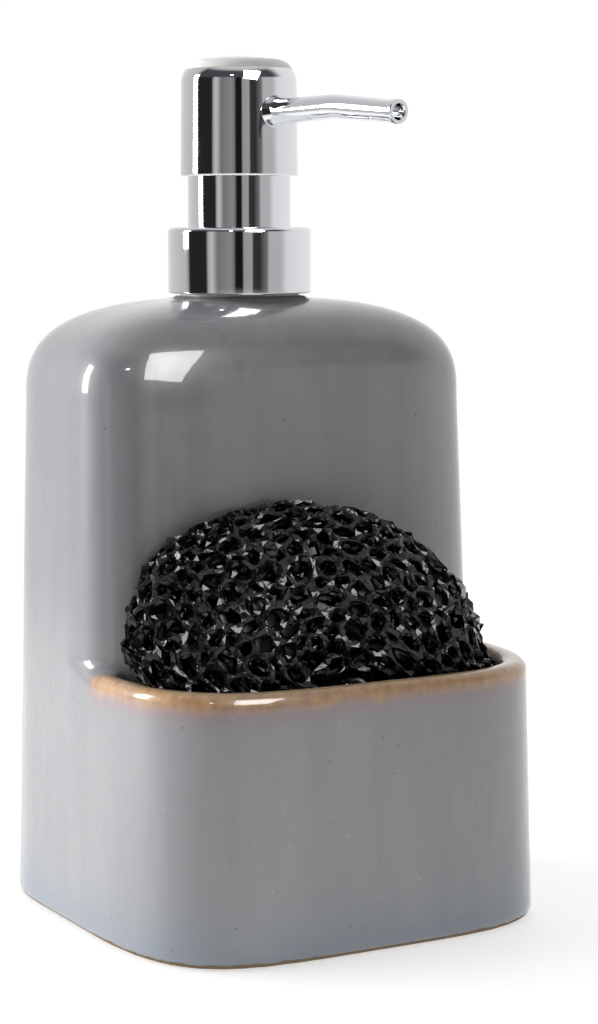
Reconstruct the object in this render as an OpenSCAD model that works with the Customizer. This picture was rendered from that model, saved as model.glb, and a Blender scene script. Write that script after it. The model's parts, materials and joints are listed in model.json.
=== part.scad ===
// Countertop liquid-soap bottle: a glazed ceramic reservoir with a scourer tray
// moulded onto its front, a chromed press pump and a knitted plastic scourer.
// Millimetres. +Z is up, the tray and the spout face -Y, the base rests on Z = 0.

/* [Bottle] */
// Overall width at the base
body_width = 98.4; // [80:0.1:125]
// Overall depth at the base, tray included
body_depth = 93; // [76:0.1:118]
// Depth of the reservoir at the base, measured from the back
reservoir_depth = 65.4; // [54:0.1:80]
// Height where the walls start to curve into the dome
shoulder_start = 111; // [92:0.5:140]
// Height of the curve from the wall to the crown of the dome
shoulder_rise = 22.1; // [16:0.1:28]
// Fullness of the dome curve (2 is an ellipse, 4 is boxy)
shoulder_power = 2.9; // [2:0.1:4]
// Draft of the outer walls in degrees
wall_draft = 1.4; // [0.5:0.1:3]
// Lean of the reservoir's front face in degrees
front_lean = 3.3; // [1:0.1:5]
// Fullness of the rear corners (2 is an oval, 8 is nearly square)
rear_fullness = 4.2; // [3:0.1:7]
// Fullness of the tray's front corners
front_fullness = 4.4; // [3:0.1:7]
// Fullness of the reservoir's front corners
reservoir_fullness = 4.0; // [3:0.1:7]
// Edge radius around the base
base_round = 2.4; // [1:0.1:4]
// Ceramic wall thickness of the reservoir
body_wall = 4.5; // [3:0.1:6]
// Thickness of the floor under the liquid
body_floor = 6; // [4:0.1:9]
// Width of the unglazed foot ring
foot_width = 9; // [5:0.1:14]
// Depth of the recess inside the foot ring
foot_recess = 1.2; // [0.6:0.1:2.5]

/* [Tray] */
// Height of the tray rim above the base
tray_height = 56; // [45:0.5:70]
// Wall thickness of the tray
tray_wall = 4.6; // [3.5:0.1:6]
// Height of the tray's floor above the base
tray_floor = 15; // [11:0.1:22]
// Rounding of the rim, inside and outside
rim_round = 2; // [1:0.1:2.2]

/* [Neck] */
// Distance of the pump axis from the back of the base
pump_setback = 29.6; // [26:0.1:40]
// Height of the ceramic boss above the crown of the dome
boss_height = 0.3; // [0.3:0.1:3]
// Radius of the ceramic boss at its top
boss_radius = 14.4; // [13.8:0.1:17]
// Radius of the bore through the ceramic neck
neck_bore_radius = 10.8; // [10:0.1:11.4]
// Length of the insert's spigot in the ceramic bore
spigot_length = 4; // [3:0.1:6]
// Radial gap filled by adhesive around the spigot
glue_gap = 0.05; // [0.02:0.01:0.2]
// Thickness of the insert's flange
insert_flange = 1.4; // [1:0.1:2.5]
// Radius of the insert's flange
insert_flange_radius = 13.2; // [12.8:0.1:13.6]
// Radius of the insert's passage for the pump
insert_bore_radius = 9; // [8.6:0.1:9.4]
// Root radius of the insert's outer thread
neck_root_radius = 11.5; // [11:0.05:11.8]
// Crest height of the outer thread
neck_thread_height = 0.85; // [0.5:0.05:1]
// Rise of both threads in one turn
thread_pitch = 3; // [2.5:0.1:4]
// Number of turns of each thread
thread_turns = 1.5; // [1:0.25:2]

/* [Collar] */
// Outer radius of the chromed collar
collar_radius = 15.8; // [15:0.05:17]
// Height of the collar
collar_height = 14.4; // [13.6:0.1:18]
// Edge radius at the top of the collar
collar_edge = 1; // [0.5:0.1:1.2]
// Wall thickness of the chromed shell
collar_wall = 0.6; // [0.4:0.05:0.9]
// Gap between the collar and the ceramic boss
collar_gap = 0.5; // [0.3:0.05:1]
// Thickness of the lip that clamps the pump down
nut_lip = 1.4; // [1:0.1:2]
// Radial gap between the crests of the two threads
crest_gap = 0.08; // [0.05:0.01:0.2]
// Depth of the collar's thread
nut_thread_height = 0.45; // [0.3:0.05:0.6]
// Axial play between stacked pump parts
stack_play = 0.06; // [0.02:0.01:0.15]

/* [Pump] */
// Radius of the chromed guide sleeve
sleeve_radius = 11.35; // [10.8:0.05:11.4]
// Wall thickness of the guide sleeve
sleeve_wall = 0.6; // [0.4:0.05:0.9]
// Radial running clearance between turning or sliding parts
running_gap = 0.07; // [0.03:0.01:0.1]
// Travel of the pump head from rest to pressed
stroke = 8; // [7:0.1:11]
// Gap left under the head when it is pressed
head_stop_gap = 3.2; // [0.8:0.1:4]
// Inner radius of the pump barrel
barrel_radius = 6.5; // [6.2:0.05:6.8]
// Wall thickness of the pump barrel
barrel_wall = 1.2; // [0.9:0.05:1.5]
// Length of the barrel below its flange
barrel_length = 40; // [38:0.5:52]
// Thickness of the barrel's flange
barrel_flange = 1.2; // [0.9:0.1:1.6]
// Thickness of the sealing washer
gasket_thickness = 1; // [0.6:0.1:1.5]
// Depth of the guide bushing inside the barrel
bushing_spigot = 4; // [3:0.1:5]
// Outer radius of the dip tube
tube_radius = 3; // [2.8:0.05:3.2]
// Wall thickness of the dip tube
tube_wall = 0.8; // [0.5:0.05:1]
// Depth the dip tube is pushed into the barrel's tail
tube_socket = 10; // [6:0.5:14]
// Gap between the dip tube and the floor of the reservoir
tube_floor_gap = 5; // [3:0.1:12]
// Radius of the inlet ball
inlet_ball_radius = 2.4; // [2.2:0.05:2.6]
// Radius of the outlet ball
outlet_ball_radius = 1.9; // [1.8:0.05:2]
// Lift of either ball off its seat
ball_lift = 1.2; // [0.8:0.1:1.6]
// Radius of the return spring's wire
spring_wire = 0.45; // [0.35:0.01:0.55]
// Number of active coils of the return spring
spring_coils = 6; // [5:1:8]

/* [Head] */
// Outer radius of the pump head
head_radius = 12.95; // [12.4:0.05:14]
// Height of the pump head
head_height = 26.1; // [24.5:0.1:32]
// Corner radius at the top of the head
head_corner = 4.6; // [3:0.1:6]
// Wall thickness of the chromed head
head_wall = 0.8; // [0.5:0.05:1]
// Overlap of the head over the sleeve at rest
sleeve_overlap = 1.4; // [0.8:0.1:2.5]
// Outer radius of the hollow stem
stem_radius = 3.6; // [3.4:0.05:3.8]
// Bore radius of the stem
stem_bore = 1.5; // [1.2:0.05:1.6]

/* [Spout] */
// Reach of the spout tip from the pump axis
spout_reach = 53; // [42:0.5:70]
// Height of the spout's root above the head's lower edge
spout_height = 13.5; // [13.4:0.1:17]
// Turn of the spout away from straight ahead, in degrees
spout_turn = 10; // [-45:1:45]
// Rise of the spout's first leg in degrees
spout_rise = 1; // [0:0.5:10]
// Fall of the spout's outer leg in degrees
spout_fall = 5; // [0:0.5:12]
// Share of the reach taken by the first leg
spout_bend_at = 0.62; // [0.5:0.01:0.75]
// Outer radius of the spout at its root
spout_root_radius = 2.8; // [2.5:0.05:3]
// Outer radius of the spout at its tip
spout_tip_radius = 2.3; // [1.9:0.05:2.4]
// Bore radius of the spout
spout_bore = 1.3; // [1:0.05:1.4]

/* [Scourer] */
// Gap between the scourer and the tray's side walls
scourer_side_gap = 4.6; // [3.5:0.1:10]
// Gap between the scourer and the tray's front and back walls
scourer_face_gap = 0.5; // [0.3:0.1:3]
// Edge radius of the scourer
scourer_edge = 4.2; // [3:0.1:6]
// Thickness of the scourer's knitted wall
scourer_wall = 2; // [1.5:0.1:4]
// Width of the tie through the scourer's middle
tie_width = 3; // [2:0.1:5]

/* [Hidden] */
half_w = body_width / 2;
half_d = body_depth / 2;
pump_y = half_d - pump_setback;
res_front = half_d - reservoir_depth;
plan_y = half_d - reservoir_depth / 2;
shoulder_top = shoulder_start + shoulder_rise;
neck_top = shoulder_top + boss_height;
draft = tan(wall_draft);
lean = tan(front_lean);
corners = 14;
skin = 0.05;
funnel_drop = 8;
thread_steps = 24;

collar_bottom = neck_top + collar_gap;
collar_top = collar_bottom + collar_height;
insert_neck_z = neck_top + insert_flange;
shell_top_inner = collar_top - collar_wall;
lip_z = shell_top_inner - nut_lip;
flange_top = lip_z - stack_play;
flange_z = flange_top - barrel_flange;
insert_top = flange_z - gasket_thickness;
neck_crest = neck_root_radius + neck_thread_height;
nut_crest = neck_crest + crest_gap;
nut_bore = nut_crest + nut_thread_height;
nut_outer = collar_radius - collar_wall;
flange_radius = nut_bore - 0.7;
sleeve_hole = sleeve_radius + running_gap;
head_bottom = collar_top + stroke + head_stop_gap;
head_top = head_bottom + head_height;
sleeve_top = head_bottom + sleeve_overlap;
sleeve_inner = sleeve_radius - sleeve_wall;
core_bottom = sleeve_top + stroke + 0.5;
spout_z = head_bottom + spout_height;
barrel_outer = barrel_radius + barrel_wall;
barrel_bottom = flange_z - barrel_length;
bushing_bottom = flange_z + barrel_flange - bushing_spigot;
piston_top = bushing_bottom - 0.15;
piston_length = 7;
piston_bottom = piston_top - piston_length;
journal_radius = 2.4;
clip_length = 1.6;
clip_bottom = piston_bottom - clip_length;
inlet_seat = 1.7;
seat_z = barrel_bottom + 1;
cage_z = seat_z + sqrt(pow(inlet_ball_radius, 2) - pow(inlet_seat, 2))
    + inlet_ball_radius + ball_lift + 0.05;
cage_height = 2;
spring_bottom = cage_z + cage_height;
spring_radius = 4.2;
tail_bottom = barrel_bottom - tube_socket - 1.5;
tube_top = barrel_bottom - 1.5;
tube_bottom = body_floor + tube_floor_gap;
stem_top = spout_z - 1.7;
outlet_chamber = outlet_ball_radius + 0.35;
outlet_seat_z = stem_top - outlet_ball_radius - ball_lift - 0.05
    - sqrt(pow(outlet_ball_radius, 2) - pow(stem_bore, 2));
scourer_radius = half_w - tray_height * draft - tray_wall - scourer_side_gap;
scourer_z = tray_floor + scourer_radius + 0.1;
scourer_back = res_front + scourer_z * lean - scourer_face_gap;
scourer_front = -half_d + scourer_z * draft + tray_wall + scourer_face_gap;
scourer_y = (scourer_front + scourer_back) / 2;
scourer_half = (scourer_back - scourer_front) / 2;

pleat_fall = atan((scourer_half - scourer_edge) / scourer_radius) * 0.85;

ceramic = [0.55, 0.56, 0.58];
chrome = [0.85, 0.86, 0.88];
white_plastic = [0.93, 0.93, 0.91];
steel = [0.7, 0.71, 0.73];
black = [0.06, 0.06, 0.07];

// One point of a superellipse plan: half width a, front and rear half depths.
function se(c, n) = sign(c) * pow(abs(c), 2 / n);
function plan_point(t, a, f, b, nf, nb) =
    [a * se(cos(t), sin(t) < 0 ? nf : nb),
     plan_y + (sin(t) < 0 ? f * se(sin(t), nf) : b * se(sin(t), nb))];
// Angles that put more points on the corners than on the flats.
function warp(k, n) = let (q = floor(k / n), u = (k % n) / n)
    90 * q + 90 * (0.5 - 0.5 * cos(180 * u));
angles = [for (k = [0 : 4 * corners - 1]) warp(k, corners)];

// Outer plan at height z: weight w is 1 for the tray plan, 0 for the reservoir plan.
function outer_ring(z, w, inset_front, inset_all) =
    let (a = half_w - z * draft - inset_all,
         b = half_d - z * draft - inset_all - plan_y,
         ft = half_d - z * draft - inset_all + plan_y,
         fr = plan_y - res_front - z * lean - inset_all)
    [for (t = angles)
        let (p = plan_point(t, a - inset_front * front_share(t),
                (w == 1 ? ft : fr) - inset_front, b,
                w == 1 ? front_fullness : reservoir_fullness, rear_fullness))
        [p[0], p[1], z]];
function front_share(t) = sin(t) < 0 ? pow(-sin(t), 0.35) : 0;

// Dome rings shrink from the reservoir plan towards the pump axis.
function dome_ring(z, s, inset) =
    let (a = half_w - z * draft - inset, b = half_d - z * draft - inset - plan_y,
         f = plan_y - res_front - z * lean - inset)
    [for (t = angles)
        let (p = plan_point(t, a, f, b, reservoir_fullness, rear_fullness))
        [p[0] * s, pump_y + (p[1] - pump_y) * s, z]];
function round_ring(z, r) =
    [for (t = angles)
        let (p = plan_point(t, half_w, plan_y - res_front, half_d - plan_y, 2, 2),
             q = [p[0], p[1] - pump_y], l = norm(q))
        [q[0] / l * r, pump_y + q[1] / l * r, z]];
function blend_ring(g, h, w) = [for (i = [0 : len(g) - 1]) g[i] * (1 - w) + h[i] * w];
function lift(ring, z) = [for (p = ring) [p[0], p[1], z]];

// Closed solid through a stack of rings with equal point counts.
module loft(rings) {
    n = len(rings[0]);
    m = len(rings);
    pts = [for (r = rings) for (p = r) p];
    bottom = [[for (i = [0 : n - 1]) i]];
    top = [[for (i = [n - 1 : -1 : 0]) (m - 1) * n + i]];
    sides = [for (j = [0 : m - 2]) for (i = [0 : n - 1])
        for (f = [[j * n + i, (j + 1) * n + i, (j + 1) * n + (i + 1) % n],
                  [j * n + i, (j + 1) * n + (i + 1) % n, j * n + (i + 1) % n]]) f];
    polyhedron(points = pts, faces = concat(bottom, sides, top), convexity = 6);
}

// Dome rings: share u of the rise and the matching shrink.
function dome_s(u) = pow(1 - pow(u, shoulder_power), 1 / shoulder_power);
dome_steps = [0.2, 0.38, 0.54, 0.67, 0.78, 0.86, 0.91];
blend_z = shoulder_start + shoulder_rise * 0.95;

module outer_solid() {
    loft(concat(
        [for (k = [0 : 3]) let (q = 90 * k / 3)
            outer_ring(base_round * (1 - cos(q)), 1, 0, base_round * (1 - sin(q)))],
        [for (k = [0 : 3]) let (q = 90 * k / 3)
            outer_ring(tray_height - rim_round * (1 - sin(q)), 1,
                rim_round * (1 - cos(q)), 0)],
        [funnel_ring()],
        [outer_ring(tray_height + 1.5, 0, 0, 0), outer_ring(shoulder_start, 0, 0, 0)],
        [for (u = dome_steps) dome_ring(shoulder_start + shoulder_rise * u, dome_s(u), 0)],
        [blend_ring(dome_ring(blend_z, dome_s(0.95), 0),
            round_ring(blend_z, boss_radius + 2.6), 0.6),
         round_ring(neck_top - 0.9, boss_radius + 1.1),
         round_ring(neck_top - 0.45, boss_radius + 0.15),
         round_ring(neck_top, boss_radius - 0.3)]));
}

// Ring that drops behind the rim so the pocket can be cut below it.
function funnel_ring() = let (r = outer_ring(tray_height, 0, 0, 0))
    [for (i = [0 : len(r) - 1]) let (w = front_share(angles[i]))
        [r[i][0], r[i][1] - 0 * w, tray_height + 0.4 - funnel_drop * pow(w, 4)]];

function pocket_ring(z, inset) =
    let (a = half_w - z * draft - inset, f = half_d - z * draft - inset + plan_y)
    [for (t = angles)
        let (p = plan_point(t, a, f, 6, front_fullness, rear_fullness)) [p[0], p[1], z]];

module pocket() {
    r_in = tray_wall - rim_round - 0.15;
    fl = 3;
    difference() {
        loft(concat(
            [for (k = [0 : 2]) let (q = 90 * k / 2)
                pocket_ring(tray_floor + fl * (1 - cos(q)), tray_wall + fl * (1 - sin(q)))],
            [for (k = [0 : 3]) let (q = 90 * k / 3)
                pocket_ring(tray_height - r_in * (1 - sin(q)),
                    tray_wall - r_in * (1 - cos(q)))],
            [pocket_ring(tray_height + 2, rim_round + 0.15)]));
        loft([outer_ring(tray_floor - 2, 0, 0, -skin), outer_ring(tray_height + 4, 0, 0, -skin)]);
    }
}

module reservoir_space() {
    rise = shoulder_rise - body_wall;
    fl = 4;
    loft(concat(
        [for (k = [0 : 2]) let (q = 90 * k / 2)
            outer_ring(body_floor + fl * (1 - cos(q)), 0, 0, body_wall + fl * (1 - sin(q)))],
        [outer_ring(shoulder_start, 0, 0, body_wall)],
        [for (u = [0.3, 0.54, 0.74, 0.86, 0.94, 0.975])
            dome_ring(shoulder_start + rise * u, dome_s(u), body_wall)]));
}

module ceramic_body() {
    color(ceramic)
    difference() {
        outer_solid();
        pocket();
        reservoir_space();
        translate([0, pump_y, shoulder_top - body_wall - 3])
            cylinder(r = neck_bore_radius, h = body_wall + boss_height + 6, $fn = 96);
        loft([outer_ring(-1, 1, 0, foot_width), outer_ring(foot_recess, 1, 0, foot_width)]);
    }
}

// A helical ridge from radius r0 to r1 with faded ends.
module ridge(r0, r1, z0, turns, w0, w1) {
    n = ceil(thread_steps * turns);
    function rr(k) = let (f = min(1, min(k, n - k) / 4)) r0 + (r1 - r0) * max(f, 0.15);
    pts = [for (k = [0 : n]) let (g = 360 * k / thread_steps, z = z0 + thread_pitch * g / 360)
        for (p = [[r0, z - w0], [rr(k), z - w1], [rr(k), z + w1], [r0, z + w0]])
        [p[0] * cos(g), p[0] * sin(g), p[1]]];
    side = r1 > r0;
    quads = [for (k = [0 : n - 1]) for (i = [0 : 3])
        let (a = 4 * k + i, b = 4 * k + (i + 1) % 4, c = b + 4, d = a + 4)
        for (f = side ? [[a, b, c], [a, c, d]] : [[c, b, a], [d, c, a]]) f];
    ends = side ? [[3, 2, 1, 0], [4 * n, 4 * n + 1, 4 * n + 2, 4 * n + 3]]
        : [[0, 1, 2, 3], [4 * n + 3, 4 * n + 2, 4 * n + 1, 4 * n]];
    polyhedron(points = pts, faces = concat(quads, ends), convexity = 6);
}

module on_axis() {
    translate([0, pump_y, 0]) children();
}

module tube(r1, r2, z0, z1) {
    translate([0, 0, z0])
    difference() {
        cylinder(r = r1, h = z1 - z0, $fn = 96);
        translate([0, 0, -1]) cylinder(r = r2, h = z1 - z0 + 2, $fn = 96);
    }
}

module neck_insert() {
    color(white_plastic) on_axis() {
        difference() {
            union() {
                translate([0, 0, neck_top - spigot_length])
                    cylinder(r = neck_bore_radius - glue_gap, h = spigot_length + 0.5, $fn = 96);
                translate([0, 0, neck_top])
                    cylinder(r = insert_flange_radius, h = insert_flange, $fn = 96);
                translate([0, 0, insert_neck_z - 0.2])
                    cylinder(r = neck_root_radius, h = insert_top - insert_neck_z + 0.2, $fn = 96);
                ridge(neck_root_radius - 0.3, neck_crest, insert_neck_z + 1.6, thread_turns,
                    0.85, 0.35);
            }
            translate([0, 0, neck_top - spigot_length - 1])
                cylinder(r = insert_bore_radius, h = insert_top - neck_top + spigot_length + 2,
                    $fn = 96);
        }
    }
}

module neck_washer() {
    color(white_plastic) on_axis()
        tube(neck_root_radius, barrel_outer + 0.4, insert_top, flange_z);
}

module pump_barrel() {
    color(white_plastic) on_axis()
    difference() {
        union() {
            translate([0, 0, flange_z]) cylinder(r = flange_radius, h = barrel_flange, $fn = 96);
            translate([0, 0, barrel_bottom])
                cylinder(r = barrel_outer, h = barrel_length + 0.2, $fn = 96);
            translate([0, 0, barrel_bottom - 3])
                cylinder(r1 = tube_radius + 1.2, r2 = barrel_outer, h = 3, $fn = 96);
            translate([0, 0, tail_bottom])
                cylinder(r = tube_radius + 1.2, h = barrel_bottom - tail_bottom - 1, $fn = 96);
        }
        translate([0, 0, seat_z])
            cylinder(r = barrel_radius, h = barrel_length + barrel_flange + 2, $fn = 96);
        translate([0, 0, tail_bottom - 1]) cylinder(r = inlet_seat, h = 30, $fn = 48);
        translate([0, 0, tail_bottom - 1])
            cylinder(r = tube_radius, h = tube_top - tail_bottom + 1, $fn = 64);
        translate([0, 0, flange_z - 6]) rotate([0, 90, 0])
            cylinder(r = 0.6, h = barrel_outer + 2, $fn = 24);
    }
}

module guide_bushing() {
    color(white_plastic) on_axis()
    difference() {
        union() {
            translate([0, 0, flange_top])
                cylinder(r = sleeve_inner, h = sleeve_top - flange_top, $fn = 96);
            translate([0, 0, bushing_bottom])
                cylinder(r = barrel_radius, h = bushing_spigot + 0.5, $fn = 96);
        }
        translate([0, 0, bushing_bottom - 1])
            cylinder(r = stem_radius + running_gap, h = 40, $fn = 64);
        tube(sleeve_inner - 1.2, stem_radius + 1.5, flange_top + 2, sleeve_top + 1);
    }
}

module guide_sleeve() {
    color(chrome) on_axis() tube(sleeve_radius, sleeve_inner, flange_top, sleeve_top);
}

module dip_tube() {
    color([0.9, 0.9, 0.9]) on_axis()
    difference() {
        tube(tube_radius, tube_radius - tube_wall, tube_bottom, tube_top);
        translate([0, 0, tube_bottom]) rotate([0, 35, 0])
            translate([-10, -10, -10.8]) cube([20, 20, 10]);
    }
}

module ball_cage() {
    color(white_plastic) on_axis()
    difference() {
        translate([0, 0, cage_z]) cylinder(r = barrel_radius, h = cage_height, $fn = 96);
        for (g = [0 : 90 : 270]) rotate([0, 0, g]) translate([3, 0, cage_z - 1])
            cylinder(r = 0.75, h = cage_height + 2, $fn = 24);
    }
}

module inlet_ball() {
    color(steel) on_axis()
        translate([0, 0, seat_z + 0.01 + sqrt(pow(inlet_ball_radius, 2) - pow(inlet_seat, 2))])
            sphere(r = inlet_ball_radius, $fn = 64);
}

// Half profile of a capped cylinder with a rounded top edge.
module capped(r, z0, z1, c) {
    translate([0, z0]) square([r - c, z1 - z0]);
    translate([0, z0]) square([r, z1 - z0 - c]);
    translate([r - c, z1 - c]) circle(r = c, $fn = 96);
}

module collar_shell() {
    color(chrome) on_axis()
    rotate_extrude($fn = 128) difference() {
        capped(collar_radius, collar_bottom, collar_top, collar_edge);
        translate([0, collar_bottom - 1])
            square([nut_outer, shell_top_inner - collar_bottom + 1]);
        translate([0, collar_bottom]) square([sleeve_hole, collar_height + 2]);
    }
}

module collar_nut() {
    nut_bottom = insert_neck_z + 0.2;
    color(white_plastic) on_axis() {
        difference() {
            translate([0, 0, nut_bottom])
                cylinder(r = nut_outer, h = shell_top_inner - nut_bottom, $fn = 96);
            translate([0, 0, nut_bottom - 1])
                cylinder(r = nut_bore, h = lip_z - nut_bottom + 1, $fn = 96);
            translate([0, 0, nut_bottom - 1]) cylinder(r = sleeve_hole, h = 30, $fn = 96);
        }
        ridge(nut_bore + 0.3, nut_crest / cos(180 / thread_steps),
            insert_neck_z + 1.6 + thread_pitch / 2, thread_turns, 0.7, 0.3);
    }
}

module piston_seal() {
    r = barrel_radius - running_gap;
    color([0.25, 0.25, 0.27]) on_axis()
    rotate_extrude($fn = 96) difference() {
        polygon([[0, piston_bottom], [r, piston_bottom], [r, piston_bottom + 1.3],
            [r - 0.9, piston_bottom + 2], [r - 0.9, piston_top - 2], [r, piston_top - 1.3],
            [r, piston_top], [0, piston_top]]);
        translate([0, piston_bottom - 1]) square([journal_radius, piston_length + 2]);
        translate([4, piston_bottom - 1]) square([1.1, 2.6]);
    }
}

module piston_clip() {
    color(white_plastic) on_axis()
        tube(4.9, journal_radius, clip_bottom, piston_bottom);
}

module return_spring() {
    z0 = spring_bottom + spring_wire;
    z1 = clip_bottom - spring_wire;
    n = 20 * spring_coils;
    m = 6;
    pts = [for (k = [0 : n]) let (g = 360 * k / 20, z = z0 + (z1 - z0) * k / n)
        for (i = [0 : m - 1]) let (q = 360 * i / m, r = spring_radius + spring_wire * cos(q))
        [r * cos(g), r * sin(g), z + spring_wire * 0.98 * sin(q)]];
    quads = [for (k = [0 : n - 1]) for (i = [0 : m - 1])
        let (a = m * k + i, b = m * k + (i + 1) % m)
        for (f = [[a, b, b + m], [a, b + m, a + m]]) f];
    color(steel) on_axis() {
        polyhedron(points = pts, faces = concat(quads,
            [[for (i = [m - 1 : -1 : 0]) i], [for (i = [0 : m - 1]) m * n + i]]), convexity = 10);
        for (z = [z0, z1]) translate([0, 0, z]) rotate_extrude($fn = 96)
            translate([spring_radius, 0]) circle(r = spring_wire, $fn = 24);
    }
}

module stem() {
    color(white_plastic) on_axis()
    difference() {
        union() {
            translate([0, 0, clip_bottom])
                cylinder(r = journal_radius, h = piston_top - clip_bottom + 0.5, $fn = 64);
            translate([0, 0, piston_top])
                cylinder(r = stem_radius, h = stem_top - piston_top, $fn = 96);
        }
        translate([0, 0, clip_bottom - 1]) cylinder(r = stem_bore, h = 80, $fn = 48);
        translate([0, 0, outlet_seat_z]) cylinder(r = outlet_chamber, h = 20, $fn = 64);
    }
}

module outlet_ball() {
    color(steel) on_axis()
        translate([0, 0, outlet_seat_z + 0.01
            + sqrt(pow(outlet_ball_radius, 2) - pow(stem_bore, 2))])
            sphere(r = outlet_ball_radius, $fn = 64);
}

bend_x = spout_reach * spout_bend_at;
leg_a = bend_x / cos(spout_rise);
leg_b = (spout_reach - bend_x) / cos(spout_fall);
bend_radius = spout_root_radius
    + (spout_tip_radius - spout_root_radius) * spout_bend_at;

module at_spout() {
    on_axis() translate([0, 0, spout_z]) rotate([0, 0, spout_turn - 90]) children();
}

// The spout's outside, grown by g, with its first leg starting at radius s.
module spout_outside(g, s) {
    rotate([0, 90 - spout_rise, 0]) translate([0, 0, s]) {
        cylinder(r1 = spout_root_radius + g, r2 = bend_radius + g, h = leg_a - s, $fn = 64);
        translate([0, 0, head_radius - s - 0.8])
            cylinder(r1 = spout_root_radius + 0.7 + g, r2 = spout_root_radius - 0.1 + g,
                h = 3.2, $fn = 64);
    }
}

module spout_tube() {
    color(chrome) at_spout()
    difference() {
        union() {
            spout_outside(0, 4);
            rotate([0, 90 - spout_rise, 0]) translate([0, 0, leg_a]) {
                sphere(r = bend_radius + 0.03, $fn = 64);
                rotate([0, spout_rise + spout_fall, 0]) {
                    cylinder(r1 = bend_radius, r2 = spout_tip_radius, h = leg_b, $fn = 64);
                    translate([0, 0, leg_b - 1.1])
                        cylinder(r = spout_tip_radius + 0.25, h = 1.1, $fn = 64);
                }
            }
        }
        rotate([0, 90 - spout_rise, 0]) {
            cylinder(r = spout_bore, h = leg_a, $fn = 48);
            translate([0, 0, leg_a]) {
                sphere(r = spout_bore + 0.03, $fn = 48);
                rotate([0, spout_rise + spout_fall, 0])
                    cylinder(r = spout_bore, h = leg_b + 2, $fn = 48);
            }
        }
    }
}

module head_shell() {
    color(chrome)
    difference() {
        on_axis() rotate_extrude($fn = 128) difference() {
            capped(head_radius, head_bottom, head_top, head_corner);
            capped(head_radius - head_wall, head_bottom - 1, head_top - head_wall,
                head_corner - head_wall);
        }
        at_spout() spout_outside(0.03, 4);
    }
}

module head_core() {
    top = head_top - head_wall;
    r = head_radius - head_wall;
    color(white_plastic)
    difference() {
        on_axis() rotate_extrude($fn = 96) difference() {
            intersection() {
                capped(r, core_bottom, top, head_corner - head_wall);
                translate([0, core_bottom]) square([r, top - core_bottom]);
            }
            translate([5.8, core_bottom - 1]) square([r - 7, top - core_bottom - 3]);
            translate([0, core_bottom - 1])
                square([stem_radius + running_gap, stem_top + 0.05 - core_bottom + 1]);
        }
        at_spout() spout_outside(0.03, 4);
        difference() {
            on_axis() translate([0, 0, stem_top - 0.5])
                cylinder(r = 2.2, h = spout_z - stem_top + 1.4, $fn = 48);
            on_axis() rotate([0, 0, spout_turn])
                translate([-4, -0.5, stem_top + 0.05]) cube([8, 1, 0.9]);
        }
        at_spout() rotate([0, 90, 0]) cylinder(r = spout_bore, h = 5, $fn = 48);
    }
}

// Half outline of a lens of radius r and half thickness h with edge radius c.
module lens(r, h, c) {
    face = pow(r - c, 2) / (2 * (h - c)) + (h - c) / 2;
    intersection() {
        translate([0, -h]) square([r - c + 0.01, 2 * h]);
        translate([0, h - face]) circle(r = face, $fn = 256);
        translate([0, face - h]) circle(r = face, $fn = 256);
    }
    translate([r - c, 0]) circle(r = c, $fn = 64);
}

// Half outline of the scourer, gathered to a waist in its middle.
module pad_profile() {
    h = scourer_half;
    difference() {
        lens(scourer_radius, h, scourer_edge);
        translate([-100, -50]) square([100, 100]);
        polygon([[0, h - 6], [3, h - 6], [9, h + 0.1], [0, h + 0.1]]);
        polygon([[0, 6 - h], [3, 6 - h], [9, -h - 0.1], [0, -h - 0.1]]);
        translate([0, -20]) square([tie_width / 2, 40]);
    }
}

// Half outline of the air space inside the knitted wall.
module pad_space() {
    intersection() {
        lens(scourer_radius - scourer_wall, scourer_half - scourer_wall,
            scourer_edge - scourer_wall);
        translate([12, -20]) square([scourer_radius, 40]);
    }
}

module at_scourer() {
    translate([0, scourer_y, scourer_z]) rotate([90, 0, 0]) children();
}

module scourer_pad() {
    color(black)
    difference() {
        at_scourer() rotate_extrude($fn = 96) pad_profile();
        at_scourer() rotate_extrude($fn = 64) pad_space();
        at_scourer() for (side = [-1, 1], k = [0 : 13])
            rotate([0, 0, k * 360 / 14 + side * 6])
                translate([9, 0, side * (scourer_half + 0.05)])
                rotate([0, 90 + side * pleat_fall, 0])
                    cylinder(r = 1.1, h = scourer_radius, $fn = 16);
    }
}

module scourer_tie() {
    h = scourer_half;
    color(black) at_scourer() {
        translate([0, 0, 3.5 - h]) cylinder(r = tie_width / 2, h = 2 * h - 7, $fn = 48);
        for (z = [3.6 - h, h - 3.6]) translate([0, 0, z]) sphere(r = tie_width * 0.8, $fn = 48);
    }
}

ceramic_body();
neck_insert();
neck_washer();
pump_barrel();
guide_bushing();
guide_sleeve();
dip_tube();
ball_cage();
inlet_ball();
collar_shell();
collar_nut();
piston_seal();
piston_clip();
return_spring();
stem();
outlet_ball();
head_core();
head_shell();
spout_tube();
scourer_pad();
scourer_tie();
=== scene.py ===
"""Looks of a ceramic detergent dispenser: glaze, chrome pump and knitted scourer.

Lengths in the dataclasses are in millimetres and become metres where a mesh is
made; the lights and the shaders are in metres. +Z is up and the tray faces -Y.
"""
from __future__ import annotations

import json
import logging
import math
import sys
from dataclasses import dataclass, field
from enum import Enum
from typing import Callable, Iterable, Sequence

import bmesh
import bpy
import numpy as np
from mathutils import Matrix, Vector

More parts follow.
